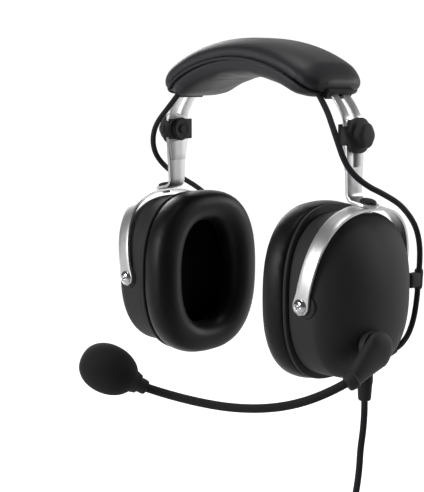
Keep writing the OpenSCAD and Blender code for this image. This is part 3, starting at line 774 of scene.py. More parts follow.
@dataclass(frozen=True)
class Cords:
    """The main cord, its coil and the two tails that end in plugs."""

    cord_d: float = 4.0
    tail_d: float = 3.6
    coil_at: tuple[float, float, float] = (80.0, 0.0, -157.0)
    coil_r: float = 22.0
    exit_at: tuple[float, float, float] = (80.0, 5.0, -63.0)
    turns: int = 12
    per_turn: int = 28

    def slots(self) -> list[tuple[float, float]]:
        """Radius and place across of each turn, in the order they are wound."""
        order = []
        for i, x in enumerate((-6.0, -2.0, 2.0, 6.0)):
            layers = (26.0, 22.0, 18.0)
            order += [(r, x) for r in (layers if i % 2 == 0 else layers[::-1])]
        return order

    def winding(self) -> list[Vector]:
        """The coil's own points. Later turns step across earlier in the turn."""
        slots = self.slots()
        start, end = 62.0, -5.0
        made = []
        total = self.turns * 360.0 + (start - end) - 360.0
        count = round(total / 360.0 * self.per_turn)
        for i in range(count + 1):
            swept = total * i / count
            turn = swept / 360.0
            k = min(int(turn), self.turns - 1)
            into = (turn - k) * 360.0
            window = 340.0 - 28.0 * k
            share = eased_step((into - window) / 26.0 + 0.5)
            r, x = slots[k]
            r2, x2 = slots[min(k + 1, self.turns - 1)]
            r, x = r + (r2 - r) * share, x + (x2 - x) * share
            angle = math.radians(start - swept)
            made.append(Vector(self.coil_at) + Vector(
                (x, r * math.cos(angle), r * math.sin(angle))))
        return made

    def cord_line(self) -> list[Vector]:
        """The main cord's whole route, from the relief to the splitter."""
        wound = self.winding()
        lead = trace([(80, 5, -63), (80, 5, -72), (80, 4, -82), (80, 2, -93),
                      (80, 1, -104), (79.5, 0, -114), (77.5, 1, -122),
                      (75, 5, -129)])
        first = flow(lead + [wound[0], wound[1]], 3)
        out = trace([(85.5, 27, -162), (83, 30, -168), (80, 33, -174)])
        last = flow([wound[-2], wound[-1]] + out, 3)
        return first[:-4] + wound + last[4:]

    def line(self, name: str, points: Route, diameter: float) -> bpy.types.Object:
        """Makes a cord as a curve of one open spline."""
        data = bpy.data.curves.new(name, "CURVE")
        data.dimensions = "3D"
        spline = data.splines.new("POLY")
        spline.points.add(len(points) - 1)
        for spot, p in zip(spline.points, points):
            spot.co = (*(p * MM), 1.0)
        data.bevel_depth = diameter / 2 * MM
        data.bevel_resolution = 3
        data.use_fill_caps = True
        return added(name, data)

    def length(self, points: Route) -> float:
        """A route's length in metres."""
        return sum((b - a).length for a, b in zip(points, points[1:])) * MM

    def splitter(self) -> bpy.types.Object:
        """The moulded splitter: a rounded block with a tapered neck."""
        def place(u: float, v: float) -> Vector:
            z = -174.1 - 24.9 * v
            neck = eased_step((v - 0.04) / 0.3)
            end = 1.0 - 0.35 * max(0.0, (v - 0.93) / 0.07) ** 2
            w = (2.9 + (5.9 - 2.9) * neck) * end
            d = (2.9 + (4.4 - 2.9) * neck) * end
            a, b = superoval(u, w, d, 2.0 + 1.6 * neck)
            return Vector((80 + a, 33 + b, z))
        return skin("splitter", 40, 30, place, 50.0)

    def tie(self) -> bpy.types.Object:
        """A soft strap round the coil's bundle."""
        x, _, z = self.coil_at

        def place(u: float, v: float) -> Vector:
            a, b = superoval(v, 8.7, 6.7, 5.0)
            return Vector((x + a, (u - 0.5) * 9.0, z - self.coil_r + b))
        piece = skin("cord_tie", 6, 40, place, 60.0, False)
        walled(piece, 1.0, 0.0)
        return piece

    def plug_handle(self, name: str, x: float, y: float, r: float) -> bpy.types.Object:
        """A moulded plug handle with finger rings and a strain relief."""
        profile = [(0.0, 0.0), (r - 1.0, 0.0), (r - 0.2, 0.5), (r, 1.2)]
        for i in range(5):
            z = 4.0 + 3.0 * i
            profile += [(r, z), (r - 0.7, z + 0.5), (r - 0.7, z + 1.3), (r, z + 1.8)]
        profile += [(r, 20.0), (r - 0.8, 22.4), (r - 2.2, 24.0)]
        for i in range(4):
            z = 25.0 + 2.1 * i
            s = r - 2.3 - 0.35 * i
            profile += [(s, z), (s - 0.5, z + 0.3), (s - 0.5, z + 0.9), (s, z + 1.2)]
        profile += [(2.3, 34.0), (0.0, 34.0)]
        return turned(name, profile, Vector((x, y, -300.0)), Vector((0, 0, 1)))

    def build(self) -> None:
        points = self.cord_line()
        main = fit(self.line("main_cord", points, self.cord_d), CABLE_JACKET,
                   "cable_jacket", "left_cup", "cord_tube", "cord_coil")
        splitter = fit(self.splitter(), CORD_RUBBER, "cord_rubber", "left_cup",
                       "cord_splitter")
        tie = fit(self.tie(), CORD_RUBBER, "cord_rubber", "left_cup")
        Vector(self.exit_at) * MM
        self.length(points)
        for name, rows, x, y, r in (
            ("phone", [(77, 33, -199), (76, 33, -206), (75, 35, -216), (74, 39, -228),
                       (74, 42, -241), (74, 42, -254), (74, 41, -266)], 74, 41, 6.0),
            ("mic", [(83, 33, -199), (84, 33, -206), (86, 31, -216), (88, 27, -228),
                     (89, 24, -241), (89, 22, -254), (89, 22, -266)], 89, 22, 5.6),
        ):
            route = flow(trace(rows), 5)
            tail = fit(self.line(f"{name}_cord_tail", route, self.tail_d), CABLE_JACKET,
                       "cable_jacket", "left_cup", f"{name}_tail")
            handle = fit(self.plug_handle(f"{name}_plug_handle", x, y, r), CORD_RUBBER,
                         "cord_rubber", "left_cup", f"{name}_plug_body")
            self.length(route)


# ---------------------------------------------------------------- headband


@dataclass(frozen=True)
class Headband:
    """The sprung band, its pad and the clamps that hold the yokes."""

    spring_w: float = 17.0
    spring_t: float = 1.2
    leg_x: float = 71.8
    knob_z: float = 92.0
    shoulder: tuple[float, float] = (26.482, 79.921)
    shoulder_r: float = 50.0
    crown_r: float = 96.17
    crown_z: float = 42.10
    pad_half: float = 38.8
    pad_w: float = 56.0
    over: float = 11.0
    under: float = 11.5
    leg_end_z: float = 72.0
    kink_r: float = 10.0
    bends: tuple[float, float] = (28.0, 55.0)
    slot_z: tuple[float, float] = (101.0, 118.0)
    slot_from_x: float = 56.0

    def spring_half_line(self) -> list[Vector]:
        """The band's middle line from the left leg's end up to the crown."""
        kink_z, kink_r, foot_z = self.knob_z + 6.7, self.kink_r, self.leg_end_z
        first, second = self.bends
        made = [Vector((self.leg_x, 0, foot_z + (kink_z - foot_z) * i / 8))
                for i in range(8)]
        for i in range(6):
            a = math.radians(first * i / 6)
            made.append(Vector((self.leg_x - kink_r + kink_r * math.cos(a), 0,
                                kink_z + kink_r * math.sin(a))))
        for i in range(18):
            a = math.radians(first + (second - first) * i / 18)
            made.append(Vector((self.shoulder[0] + self.shoulder_r * math.cos(a), 0,
                                self.shoulder[1] + self.shoulder_r * math.sin(a))))
        for i in range(21):
            a = math.radians(second + (90 - second) * i / 20)
            made.append(Vector((self.crown_r * math.cos(a), 0,
                                self.crown_z + self.crown_r * math.sin(a))))
        return made

    def spring(self) -> bpy.types.Object:
        """The band itself, with a slot in each shoulder."""
        half = self.spring_half_line()
        line = half + [Vector((-p.x, 0, p.z)) for p in reversed(half[:-1])]
        rows = len(line) - 1

        def place(s: float, t: float) -> Vector:
            p = line[round(t * rows)].copy()
            p.y = s * (self.spring_w / 2 - 2.2 * max(86.0 - p.z, 0.0) / 14.0)
            return p

        def cut(s: float, t: float) -> bool:
            p = along(line, t)
            low, high = self.slot_z
            return abs(s) < 0.24 and low < p.z < high and abs(p.x) > self.slot_from_x
        return plate("head_band_spring", (-1, -0.247, 0.247, 1), rows, place, cut,
                     self.spring_t)

    def outline(self, a: float) -> float:
        """Half of the pad's width at angle a from the crown, in degrees."""
        share = min(abs(a) / self.pad_half, 1.0)
        return self.pad_w / 2 * (1 - share ** 9.0) ** (1 / 5.0)

    def spot(self, a: float, y: float, lift: float) -> Vector:
        """A point at angle a, across y, and lift above the band's middle."""
        turn = math.radians(a)
        r = self.crown_r + lift
        return Vector((r * math.sin(turn), y, self.crown_z + r * math.cos(turn)))

    def pad(self, upper: bool) -> bpy.types.Object:
        """One half of the pad: the cover above the band or the cushion under it."""
        reach = self.pad_half + (0.5 if upper else -0.6)

        def place(u: float, v: float) -> Vector:
            a = reach * math.sin(math.pi * (v - 0.5))
            hw = self.outline(a * self.pad_half / reach)
            hw = max(hw + (0.4 if upper else -1.2), 0.3)
            turn = math.tau * (0 if u >= 1 else u)
            c, s = math.cos(turn), math.sin(turn)
            ends = min((reach - abs(a)) / 7.5, 1.0) ** 0.55
            y = hw * math.copysign(abs(c) ** (0.55 if upper else 0.5), c)
            fall = (abs(y) / (self.pad_w / 2)) ** 3
            if upper:
                full = (self.over - 1.0) * (0.3 + 0.7 * ends) - 1.6 * fall
                lift = 0.4 + full * s ** 0.8 if s > 0 else 0.4 - 2.6 * abs(s) ** 0.3
            else:
                full = (self.under - 2.2) * (0.35 + 0.65 * ends) + 1.0 * fall
                lift = -1.8 - full * abs(s) ** 0.75 if s < 0 else -1.8 + 0.6 * s ** 0.3
            return self.spot(a, y, lift)
        name = "pad_top_cover" if upper else "pad_under_cushion"
        piece = skin(name, 56, 60, place)
        swell(piece, 1.7, 1.4, 3.0)
        return piece

    def seam(self) -> bpy.types.Object:
        """The piping sewn round the pad where its two halves meet."""
        ring = []
        for i in range(180):
            turn = math.tau * i / 180
            a = self.pad_half * math.copysign(abs(math.cos(turn)) ** 0.6, math.cos(turn))
            y = (self.outline(a * 0.999) - 0.2) * math.copysign(1, math.sin(turn))
            y = y if abs(math.sin(turn)) > 1e-6 else 0.0
            ring.append(self.spot(a * 0.997, y, -1.9))
        ring = spread(ring, 200)
        return hose("pad_piping", ring + [ring[0]], 0.95, 10, True)

    def build(self) -> None:
        """Makes the band, the pad and the clamps."""
        fit(self.spring(), BRUSHED_STEEL, "brushed_steel", "headband", "head_spring")
        cover = fit(self.pad(True), LEATHERETTE, "leatherette", "headband", "pad_cover")
        under = fit(self.pad(False), LEATHERETTE, "leatherette", "headband",
                    "pad_cushion")
        fit(self.seam(), LEATHERETTE, "leatherette", "headband")
        for side in Side:
            self.clamp(side)

    def clamp(self, side: Side) -> None:
        """The guide plate, its nut and the turning knob on one side."""
        x0 = self.leg_x - self.spring_t / 2 - 0.05
        half, z = 7.9, self.knob_z
        line = trace([(x0 + 3.9, -half - 1.1, 0), (x0 - 0.2, -half - 1.1, 0),
                      (x0 - 1.2, -half - 0.2, 0), (x0 - 1.2, half + 0.2, 0),
                      (x0 - 0.2, half + 1.1, 0), (x0 + 3.9, half + 1.1, 0)], side)
        fine = flow(line, 3)
        rows = len(fine) - 1

        def place(s: float, t: float) -> Vector:
            p = fine[round(t * rows)].copy()
            p.z = z + s * (6.5 if 0.2 < t < 0.8 else 5.4)
            return p
        guide = plate(f"{side.prefix}guide", (-1, -0.33, 0.33, 1), rows, place,
                      lambda s, t: False, 1.1)
        nut_x = x0 - 1.4
        nut = turned(f"{side.prefix}nut", [(0, 3.0), (2.2, 3.0), (2.9, 2.3), (3.3, 1.9),
                                           (6.2, 2.2), (7.2, 1.7), (7.5, 1.1), (7.5, 0),
                                           (0, 0)],
                     side.at(nut_x, 0, z), side.at(-1, 0, 0))
        fit(guide, BLACK_PLASTIC, "black_plastic", "headband")
        fit(nut, KNOB_PLASTIC, "black_plastic", "headband")
        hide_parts("guide_plates", "clamp_nuts")
        knob = self.knob(side)
        fit(knob, KNOB_PLASTIC, "knob_plastic", f"{side.prefix}knob",
            f"{side.prefix}clamp_knob", f"{side.prefix}clamp_screw")

    def knob(self, side: Side) -> bpy.types.Object:
        """The clamp knob: a scalloped flange with a lobed, domed grip."""
        x0 = self.leg_x + 0.6 + 0.1 + 1.8 + 0.1
        profile = [(0.0, 0.0), (9.8, 0.0), (10.3, 0.35), (10.6, 1.0), (10.6, 2.9),
                   (10.3, 3.6), (9.5, 4.0), (8.4, 4.1), (8.0, 4.4), (7.9, 5.0),
                   (7.8, 6.6), (7.5, 7.7), (6.8, 8.5), (5.6, 9.0), (3.4, 9.25),
                   (1.6, 9.3), (0.0, 9.3)]
        rows = len(profile) - 1

        def place(u: float, v: float) -> Vector:
            r, h = profile[round(v * rows)]
            turn = math.tau * (0 if u >= 1 else u)
            lobes = 0.030 if h < 4.2 else 0.055
            r *= 1 - lobes * (0.5 - 0.5 * math.cos(6 * turn)) ** 1.5
            return side.at(x0 + h, r * math.cos(turn), self.knob_z + r * math.sin(turn))
        piece = skin(f"{side.prefix}knob", 72, rows, place, 80.0)
        softened(piece)
        return piece


def spread(points: Route, count: int) -> list[Vector]:
    """Points a steady distance apart round a closed route."""
    ring = list(points) + [points[0]]
    runs = [0.0]
    for a, b in zip(ring, ring[1:]):
        runs.append(runs[-1] + (b - a).length)
    made = []
    j = 0
    for i in range(count):
        goal = runs[-1] * i / count
        while runs[j + 1] < goal:
            j += 1
        gap = runs[j + 1] - runs[j]
        made.append(ring[j].lerp(ring[j + 1], (goal - runs[j]) / gap if gap else 0.0))
    return made


# ---------------------------------------------------------------- yokes


@dataclass(frozen=True)
class Yoke:
    """The slotted plate on one side, its foot, and the stirrup that carries the cup."""

    side: Side
    rise: float = 54.56
    lean: float = 11.31
    eye_y: float = 45.3
    strap_w: float = 9.0
    strap_t: float = 1.7
    plate_t: float = 1.8
    eye_r: float = 5.4
    riser_x: float = 72.5
    riser_top: float = 101.0
    riser_half: float = 8.2
    bend_r: float = 4.0
    foot_r: float = 6.5
    slot_z: tuple[float, float] = (73.3, 97.4)

    def leaned(self, x: float, y: float, z: float) -> Vector:
        """A point given in the leaning stirrup's own frame."""
        a = math.radians(self.lean)
        return self.side.at(PIVOT_X + x * math.cos(a) + z * math.sin(a), y,
                            PIVOT_Z - x * math.sin(a) + z * math.cos(a))

    def stirrup(self) -> bpy.types.Object:
        """The bent strap, with a round eye at each end."""
        mid_z = self.rise - self.strap_t / 2
        eye = self.eye_r
        end = [(-self.eye_y, -eye + 1.35 * i * eye / 5) for i in range(5)]
        arch = [superoval(0.5 - 0.5 * i / 48, self.eye_y, mid_z, 2.6) for i in range(49)]
        arch = [(y, z) for y, z in arch if z > 3.2]
        line = end + arch + [(-y, z) for y, z in reversed(end)]
        rows = len(line) - 1

        def place(s: float, t: float) -> Vector:
            y, z = line[round(t * rows)]
            half = self.strap_w / 2
            if z < 3.0:
                half = math.sqrt(max(eye * eye - z * z, 0.01))
            return self.leaned(s * half, y, z)
        return plate(f"{self.side.prefix}strap", (-1, -0.34, 0.34, 1), rows, place,
                     lambda s, t: False, self.strap_t)

    def riser(self) -> bpy.types.Object:
        """The slotted upright that bends out into the foot over the stirrup."""
        x_mid = self.riser_x + self.plate_t / 2
        a = math.radians(self.lean)
        foot_z = self.rise + 0.1 + self.plate_t / 2
        foot = Vector((PIVOT_X + foot_z * math.sin(a), 0, PIVOT_Z + foot_z * math.cos(a)))
        bend = self.bend_r + self.plate_t / 2
        up = Vector((math.sin(a), 0, math.cos(a)))
        out = Vector((math.cos(a), 0, -math.sin(a)))
        gap = (x_mid + bend - (foot + up * bend).x) / out.x
        centre = foot + up * bend + out * gap
        top = self.riser_top
        line = [Vector((x_mid, 0, top - (top - centre.z) * i / 40)) for i in range(41)]
        for i in range(1, 11):
            turn = math.radians(180 + (90 - self.lean) * i / 10)
            line.append(centre + bend * Vector((math.cos(turn), 0, math.sin(turn))))
        reach = (foot - line[-1]).dot(out) + self.foot_r
        start = line[-1]
        for i in range(1, 13):
            line.append(start + out * reach * math.sin(math.pi / 2 * i / 12))
        rows = len(line) - 1

        def place(s: float, t: float) -> Vector:
            i = round(t * rows)
            p = line[i].copy()
            narrowed = min(max((86 - p.z) / 28, 0.0), 1.0)
            half = self.riser_half + (self.foot_r - self.riser_half) * narrowed
            if i > rows - 12:
                d = (p - foot).dot(out)
                if d > 0:
                    half = math.sqrt(max(self.foot_r ** 2 - d * d, 0.02))
            p.y = s * half
            return self.side.at(*p)

        def cut(s: float, t: float) -> bool:
            p = along(line, t)
            return abs(s) < 0.26 and self.slot_z[0] < p.z < self.slot_z[1]
        return plate(f"{self.side.prefix}riser", (-1, -0.27, 0.27, 1), rows, place, cut,
                     self.plate_t)

    def cap(self) -> bpy.types.Object:
        """The black cap over the foot's rivet."""
        at = self.leaned(0, 0, self.rise + 0.1 + self.plate_t)
        way = self.leaned(0, 0, 1) - self.leaned(0, 0, 0)
        return turned(f"{self.side.prefix}cap", [(0, 0), (4.8, 0), (5.0, 0.4), (4.9, 1.1),
                                                 (4.4, 1.8), (3.3, 2.3), (1.6, 2.5),
                                                 (0, 2.55)], at, way)

    def build(self) -> None:
        """Makes the riser, its cap and the stirrup."""
        p = self.side.prefix
        fit(self.riser(), BRUSHED_STEEL, "brushed_steel", f"{p}yoke", f"{p}yoke_plate")
        fit(self.cap(), BLACK_PLASTIC, "black_plastic", f"{p}yoke", f"{p}rivet_cap")
        fit(self.stirrup(), BRUSHED_STEEL, "brushed_steel", f"{p}stirrup",
            f"{p}stirrup")


# ---------------------------------------------------------------- ear cups


@dataclass(frozen=True)
class EarCup:
    """One ear cup: the seal, its flange, the moulded cup and what is on it."""

    side: Side
    seal_x: float = 39.5
    seal_t: float = 18.5
    seal_half: tuple[float, float] = (45.8, 53.0)
    ear_half: tuple[float, float] = (23.0, 34.0)
    cup_half: tuple[float, float] = (43.2, 48.4)
    frame_x: tuple[float, float] = (61.0, 78.3)
    dome: float = 20.7
    power: float = 2.5
    wall_t: float = 2.2

    def seal(self) -> bpy.types.Object:
        """The foam ring in its soft skin."""
        section = [(0.14, 1), (0.0, 0.8), (-0.02, 0.5), (0.06, 0.24), (0.22, 0.07),
                   (0.44, 0.0), (0.68, 0.02), (0.87, 0.1), (0.97, 0.27), (1, 0.52),
                   (0.975, 0.82), (0.9, 0.985), (0.6, 1.0)]
        ring = flow([Vector((a, b, 0)) for a, b in section + section[:1]], 4)
        rows = len(ring) - 1

        def place(u: float, v: float) -> Vector:
            s = ring[0 if v >= 1 else round(v * rows)]
            a = superoval(u, *self.ear_half, self.power)
            b = superoval(u, *self.seal_half, self.power)
            return self.side.at(self.seal_x + self.seal_t * min(max(s.y, 0), 1),
                                a[0] + (b[0] - a[0]) * s.x, a[1] + (b[1] - a[1]) * s.x)
        piece = skin(f"{self.side.prefix}seal", 120, rows, place, 60.0)
        swell(piece, 2.2, 0.6, 1.5)
        return piece

    def ring(self, name: str, x0: float, x1: float, outer: float, inner: float,
             round_by: float) -> bpy.types.Object:
        """A flat oval ring with a rounded rim.

        Args:
            name: the piece's name.
            x0: where it starts, outwards.
            x1: where it ends.
            outer: how far its rim lies inside the seal's widest line.
            inner: the band's width.
            round_by: the rim's rounding.

        Returns:
            The piece.
        """
        w, h = self.seal_half[0] - outer, self.seal_half[1] - outer
        profile = [(inner, x1), (round_by, x1)]
        profile += [(round_by * (1 - math.sin(math.radians(a))),
                     x1 - round_by * (1 - math.cos(math.radians(a))))
                    for a in (30, 60, 90)]
        profile += [(round_by * (1 - math.sin(math.radians(a))),
                     x0 + round_by * (1 - math.cos(math.radians(a))))
                    for a in (90, 60, 30)]
        profile += [(round_by, x0), (inner, x0), (inner, x1)]
        rows = len(profile) - 1

        def place(u: float, v: float) -> Vector:
            step, x = profile[0 if v >= 1 else round(v * rows)]
            a = superoval(u, w - step, h - step, self.power)
            return self.side.at(x, *a)
        return skin(name, 120, rows, place, 40.0)

    def shell(self) -> bpy.types.Object:
        """The moulded cup: a straight side that runs into a smooth dome."""
        w, h = self.cup_half
        x0, x1 = self.frame_x
        rings = [(x0, 0.93), (x0 + 0.15, 0.972), (x0 + 0.8, 0.99), (x0 + 1.8, 0.996)]
        rings += [(x0 + 2 + (x1 - x0 - 2) * i / 8, 1.0 - 0.003 * i / 8) for i in range(1, 8)]
        for i in range(34):
            t = math.sin(math.pi / 2 * i / 34) ** 1.15 * 0.9995
            rings.append((x1 + self.dome * t, 0.997 * math.sqrt(1 - t ** 1.7)))
        rows = len(rings) - 1

        def place(u: float, v: float) -> Vector:
            x, share = rings[round(v * rows)]
            a = superoval(u, max(w * share, 0.05),
                          max(h * share, 0.05), self.power)
            return self.side.at(x, *a)
        bm = draped_grid(128, rows, place)
        ends = [e for e in bm.edges if e.is_boundary
                and abs(e.verts[0].co.x) > self.frame_x[1]]
        bmesh.ops.holes_fill(bm, edges=ends, sides=0)
        piece = finished(bm, f"{self.side.prefix}cup_cover", 50.0)
        walled(piece, self.wall_t, -1.0)
        return piece

    def boss(self, end: int) -> bpy.types.Object:
        """The round boss that a pivot screw goes into."""
        w = self.cup_half[0]
        profile = [(0, 0), (7.6, 0), (7.6, 3.2), (7.2, 4.0), (6.2, 4.3), (0, 4.3)]
        profile = [(r, d + w - 3.4) for r, d in profile]
        return turned(f"{self.side.prefix}boss{'_rear' if end > 0 else '_front'}",
                      profile, self.side.at(PIVOT_X + 1.0, 0, PIVOT_Z),
                      Vector((0, end, 0)))

    def liner(self) -> bpy.types.Object:
        """The foam sheet behind the ear opening, with a dish in it."""
        def place(u: float, v: float) -> Vector:
            shares = [0.002, 0.15, 0.3, 0.45, 0.6, 0.75, 0.88, 0.97, 1.0, 1.0, 0.97,
                      0.6, 0.002]
            lifts = [0.9, 0.85, 0.75, 0.6, 0.42, 0.25, 0.1, 0.05, 0.35, 1.6, 2.0, 2.0,
                     2.0]
            i = round(v * 12)
            a = superoval(u, 32.4 * shares[i], 42.4 * shares[i], 2.4)
            return self.side.at(58.7 + lifts[i], *a)
        return skin(f"{self.side.prefix}liner", 72, 12, place, 60.0)

    def screws(self) -> list[bpy.types.Object]:
        """The two domed pivot screws, with a crossed recess."""
        made = []
        y0 = 46.25
        for end in (-1, 1):
            name = f"{self.side.prefix}pivot{'_rear' if end > 0 else '_front'}"
            head = turned(name, [(0, 30.0), (2.0, 30.0), (2.0, y0), (4.25, y0),
                                 (4.3, y0 + 0.35), (4.05, y0 + 0.95), (3.5, y0 + 1.5),
                                 (2.6, y0 + 1.95), (1.5, y0 + 2.2), (0.6, y0 + 2.28),
                                 (0, y0 + 2.3)],
                          self.side.at(PIVOT_X, 0, PIVOT_Z), Vector((0, end, 0)), 48,
                          45.0)
            for turn in (0, 90):
                cross = bmesh.new()
                bmesh.ops.create_cube(cross, size=1.0)
                bmesh.ops.scale(cross, vec=(0.95, 2.4, 3.9), verts=cross.verts)
                bmesh.ops.rotate(cross, cent=(0, 0, 0), verts=cross.verts,
                                 matrix=Matrix.Rotation(math.radians(turn + 20), 3, "Y"))
                bmesh.ops.translate(cross, verts=cross.verts, vec=self.side.at(
                    PIVOT_X, end * (y0 + 2.4), PIVOT_Z))
                cutter = finished(cross, "cutter")
                bite = head.modifiers.new("cross", "BOOLEAN")
                bite.operation = "DIFFERENCE"
                bite.solver = "EXACT"
                bite.object = cutter
                keep_shape(head)
                bpy.data.objects.remove(cutter)
            made.append(head)
        return made

    def clips(self) -> list[bpy.types.Object]:
        """The sleeve that holds the cable at the rear, and its grommet."""
        side = self.side
        p = side.prefix
        held = flow(trace([(84, 51.2, -2.0), (84, 51.5, 4), (84, 52.1, 10)], side), 5)
        sleeve = hose(f"{p}sleeve", held, lambda t: 2.75 - 0.5 * abs(2 * t - 1) ** 6, 20)
        foot = block(f"{p}sleeve_foot", (81.4, 41.0, -0.8), (86.6, 51.6, 8.4), 1.8, side)
        leaving = flow(trace([(82, 21, -37.5), (83, 25, -37.2), (84, 29, -36)], side), 5)
        root = hose(f"{p}grommet", leaving, lambda t: 3.4 - 1.2 * t, 20)
        return [sleeve, foot, root]

    def build(self) -> None:
        """Makes the cup's pieces."""
        p = self.side.prefix
        cup = f"{p}cup"
        seal = fit(self.seal(), SEAL_SKIN, "leatherette", cup, f"{p}ear_seal")
        flange = self.ring(f"{p}flange", 58.2, 60.7, 1.1, 12.0, 0.9)
        fit(flange, BLACK_PLASTIC, "black_plastic", cup, f"{p}seal_flange")
        fit(self.shell(), CUP_PLASTIC, "cup_plastic", cup, f"{p}cup_shell",
            f"{p}cup_frame")
        liner = fit(self.liner(), EAR_FOAM, "foam", cup, f"{p}foam_liner")
        for end in (-1, 1):
            fit(self.boss(end), CUP_PLASTIC, "cup_plastic", cup)
        front, rear = self.screws()
        fit(front, BRIGHT_STEEL, "bright_steel", cup, f"{p}pivot_screws")
        fit(rear, BRIGHT_STEEL, "bright_steel", cup)
        sleeve, foot, root = self.clips()
        fit(sleeve, BLACK_PLASTIC, "black_plastic", cup, f"{p}cable_clips")
        fit(foot, BLACK_PLASTIC, "black_plastic", cup)
        fit(root, BLACK_PLASTIC, "black_plastic", cup)


# ---------------------------------------------------------------- joining cable


@dataclass(frozen=True)
class JoiningCable:
    """The cable that joins the two cups over the headband."""

    diameter: float = 3.5
    lower: tuple = ((83, 25, -37.2), (84, 34, -34.4), (84, 42, -29), (84, 47.4, -20),
                    (84, 50.4, -8), (84, 51.5, 4), (84, 52.5, 14), (84, 52, 24))
    middle: tuple = ((84, 49, 33), (84, 44, 40), (84, 36, 47), (84, 27, 52.5),
                     (83, 15, 58), (81.5, 4.5, 62.5))
    upper: tuple = ((80, -5, 68), (79, -12, 74), (78, -16, 80), (76.5, -18, 86.5))
    top: tuple = ((74, -18.5, 93), (70.5, -17.5, 99), (66, -15.5, 105), (61, -14, 111),
                  (56, -13, 116.5), (50, -13, 121), (40, -13, 125), (28, -13, 130),
                  (14, -13, 133), (0, -13, 134))

    def build(self) -> None:
        """Makes the cable's lengths from one smooth route."""
        steps = 6
        rows = self.lower + self.middle + self.upper + self.top
        whole = flow(trace(rows), steps)
        cuts = [0, len(self.lower), len(self.lower + self.middle),
                len(self.lower + self.middle + self.upper), len(rows) - 1]
        for side in Side:
            line = [side.at(*p) for p in whole]
            p = side.prefix
            names = ("lower", "middle", "upper")
            pairs = ((f"{p}stirrup", f"{p}cup"), (f"{p}yoke", f"{p}stirrup"),
                     ("headband", f"{p}yoke"))
            for i, (name, (a, b)) in enumerate(zip(names, pairs)):
                part = line[cuts[i] * steps:cuts[i + 1] * steps + 1]
                piece = hose(f"{p}link_{name}", part, self.diameter / 2)
                fit(piece, CABLE_JACKET, "cable_jacket", "", f"{p}cable_{name}")
                end = side.at(84, 52.5, 12) if name == "lower" else part[0]
                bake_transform(piece)
        over = whole[cuts[3] * steps:]
        over = over + [Vector((-q.x, q.y, q.z)) for q in reversed(over[:-1])]
        fit(hose("link_over", over, self.diameter / 2), CABLE_JACKET, "cable_jacket",
            "headband", "crossover_cable")


# ---------------------------------------------------------------- microphone


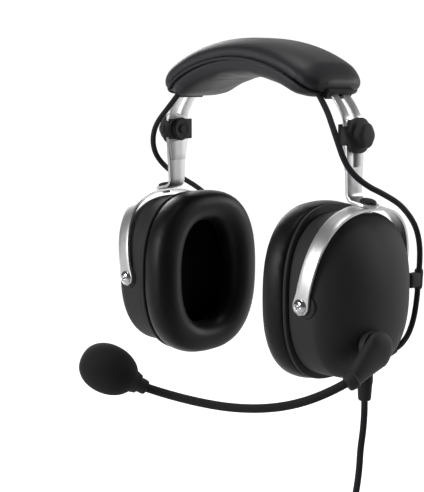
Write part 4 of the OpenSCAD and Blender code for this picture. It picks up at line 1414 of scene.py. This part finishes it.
@dataclass(frozen=True)
class BoomMic:
    """The turning boom housing, the boom, and the microphone in its foam."""

    hub_at: tuple[float, float, float] = (95.4, -13.7, -25.3)
    dome_x: float = 98.9
    boom_d: float = 5.0
    mic_at: tuple[float, float, float] = (12.0, -108.0, -47.0)
    mic_to: tuple[float, float, float] = (-14.5, -145.0, -22.0)
    foam_d: float = 27.5
    foam_len: float = 33.5
    route: tuple = ((100, -34, -41), (95.5, -40, -45.2), (90, -47, -49.2),
                    (83.5, -53.9, -52.6), (77, -59.5, -55), (69, -65.8, -56.8),
                    (60.5, -72.3, -57.6), (49, -79.8, -57.6), (38.5, -86.5, -56),
                    (25, -96.4, -52.6), (18, -102, -50), (12, -108, -47))

    def housing(self) -> bpy.types.Object:
        """The tear-shaped housing that turns on the cup."""
        head = Vector((101.2, -12.0, -28.0))
        tip = Vector(self.route[0])
        way = (tip - head).normalized()
        up = Vector((1, 0, 0))
        up = (up - up.dot(way) * way).normalized()
        wide = way.cross(up)
        big, small = 11.3, 5.1

        def place(u: float, v: float) -> Vector:
            if v < 0.4:
                a = math.pi / 2 * v / 0.4
                half, tall = big * math.sin(a), 4.9 * math.sin(a) ** 0.6
                mid = head - way * big * math.cos(a)
                sunk = self.dome_x
            else:
                t = (v - 0.4) / 0.6
                half = big + (small - big) * t ** 0.9
                tall = 4.9
                mid = head.lerp(tip, t)
                sunk = self.dome_x - 9.0 * max(t - 0.35, 0.0)
            a, b = superoval(u, max(half, 0.02), max(tall, 0.02), 2.0)
            p = mid + wide * a + up * b
            p.x = max(p.x, sunk)
            return p
        return skin("boom_housing", 48, 40, place, 60.0)

    def skirt(self) -> bpy.types.Object:
        """The round base under the housing."""
        return turned("boom_base", [(0, 0), (8.2, 0), (8.4, 0.6), (8.6, 2.4),
                                    (8.2, 3.6), (0, 3.8)],
                      Vector(self.hub_at), Vector((1, 0, 0)))

    def cuff(self) -> bpy.types.Object:
        """The moulded cuff where the boom leaves its housing."""
        a, b = Vector(self.route[0]), Vector(self.route[1])
        way = (b - a).normalized()
        return turned("boom_cuff", [(0, -3.0), (4.8, -3.0), (5.5, -2.4), (5.6, -1.2),
                                    (5.3, 2.2), (4.7, 3.2), (3.4, 3.6), (0, 3.6)],
                      a, way)

    def collar(self) -> bpy.types.Object:
        """The tapered collar between the boom and the foam."""
        at, way = Vector(self.mic_at), Vector(self.mic_to) - Vector(self.mic_at)
        return turned("mic_cone", [(0, -1.2), (3.3, -1.2), (3.9, -0.8), (4.2, 0.2),
                                   (4.3, 3.4), (5.5, 4.2), (6.3, 7.2), (7.0, 8.6),
                                   (7.1, 10.2), (6.6, 10.8), (0, 10.8)],
                      at, way.normalized())

    def foam(self) -> bpy.types.Object:
        """The egg-shaped foam cover."""
        at = Vector(self.mic_at)
        way = (Vector(self.mic_to) - at).normalized()
        profile = []
        for i in range(29):
            a = math.pi * i / 28
            share = 0.5 - 0.5 * math.cos(a)
            r = self.foam_d / 2 * math.sin(a) ** 0.86 * (0.965 + 0.07 * share)
            profile.append((max(r, 0.0), 6.0 + self.foam_len * share))
        return turned("mic_foam", profile, at, way, 64, 80.0)

    def build(self) -> None:
        """Makes the boom's pieces."""
        fit(self.housing(), CUP_PLASTIC, "black_plastic", "boom", "boom_arm")
        fit(self.skirt(), CUP_PLASTIC, "cup_plastic", "left_cup", "boom_hub")
        fit(self.cuff(), BLACK_PLASTIC, "black_plastic", "boom")
        line = eased(flow(trace(self.route), 6), 60)
        fit(hose("boom_sleeve", line, self.boom_d / 2, 20), BOOM_SLEEVE, "boom_sleeve",
            "boom", "boom_tube")
        fit(self.collar(), BLACK_PLASTIC, "black_plastic", "boom", "mic_collar")
        foam = fit(self.foam(), FOAM, "foam", "boom", "windscreen")
        relief = turned("cord_relief", [(0, 0), (4.4, 0), (4.8, 0.8), (4.8, 6.0),
                                        (4.6, 7.0), (4.4, 8.4), (4.1, 12.5), (3.9, 16.4),
                                        (3.4, 17.4), (2.1, 17.9), (0, 18.0)],
                        Vector((80, 5, -46)), Vector((0, 0, -1)))
        fit(relief, CORD_RUBBER, "cord_rubber", "left_cup", "strain_relief")


# ---------------------------------------------------------------- all


KEPT_NODES: dict[str, Finish] = {
    "pad_ends": BLACK_PLASTIC,
    "foot_rivet": BRIGHT_STEEL,
    "baffle": INNER_PLASTIC,
    "speaker": SPEAKER,
    "preamp_board": BOARD,
    "mic_capsule": INNER_PLASTIC,
    "phone_plug_tip": PLUG_METAL,
    "mic_plug_tip": PLUG_METAL,
}


def dress_nodes(nodes: dict[str, bpy.types.Object]) -> None:
    """Gives each CAD node that stays in view its finish."""
    for name, node in nodes.items():
        plain = name.removeprefix("left_").removeprefix("right_")
        if plain in KEPT_NODES:
            KEPT_NODES[plain].dress(node)
            LOG.info("%s: dressed", name)


def main() -> None:
    """Builds the headset's looks, sub-assembly by sub-assembly."""
    logging.basicConfig(level=logging.INFO, format="%(name)s %(message)s")
    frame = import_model()
    studio = Studio()
    studio.camera()
    Cords().build()
    Headband().build()
    for side in Side:
        Yoke(side).build()
        EarCup(side).build()
    JoiningCable().build()
    BoomMic().build()
    dress_nodes(frame["nodes"])
    studio.build()
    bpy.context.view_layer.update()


if __name__ == "__main__":
    main()
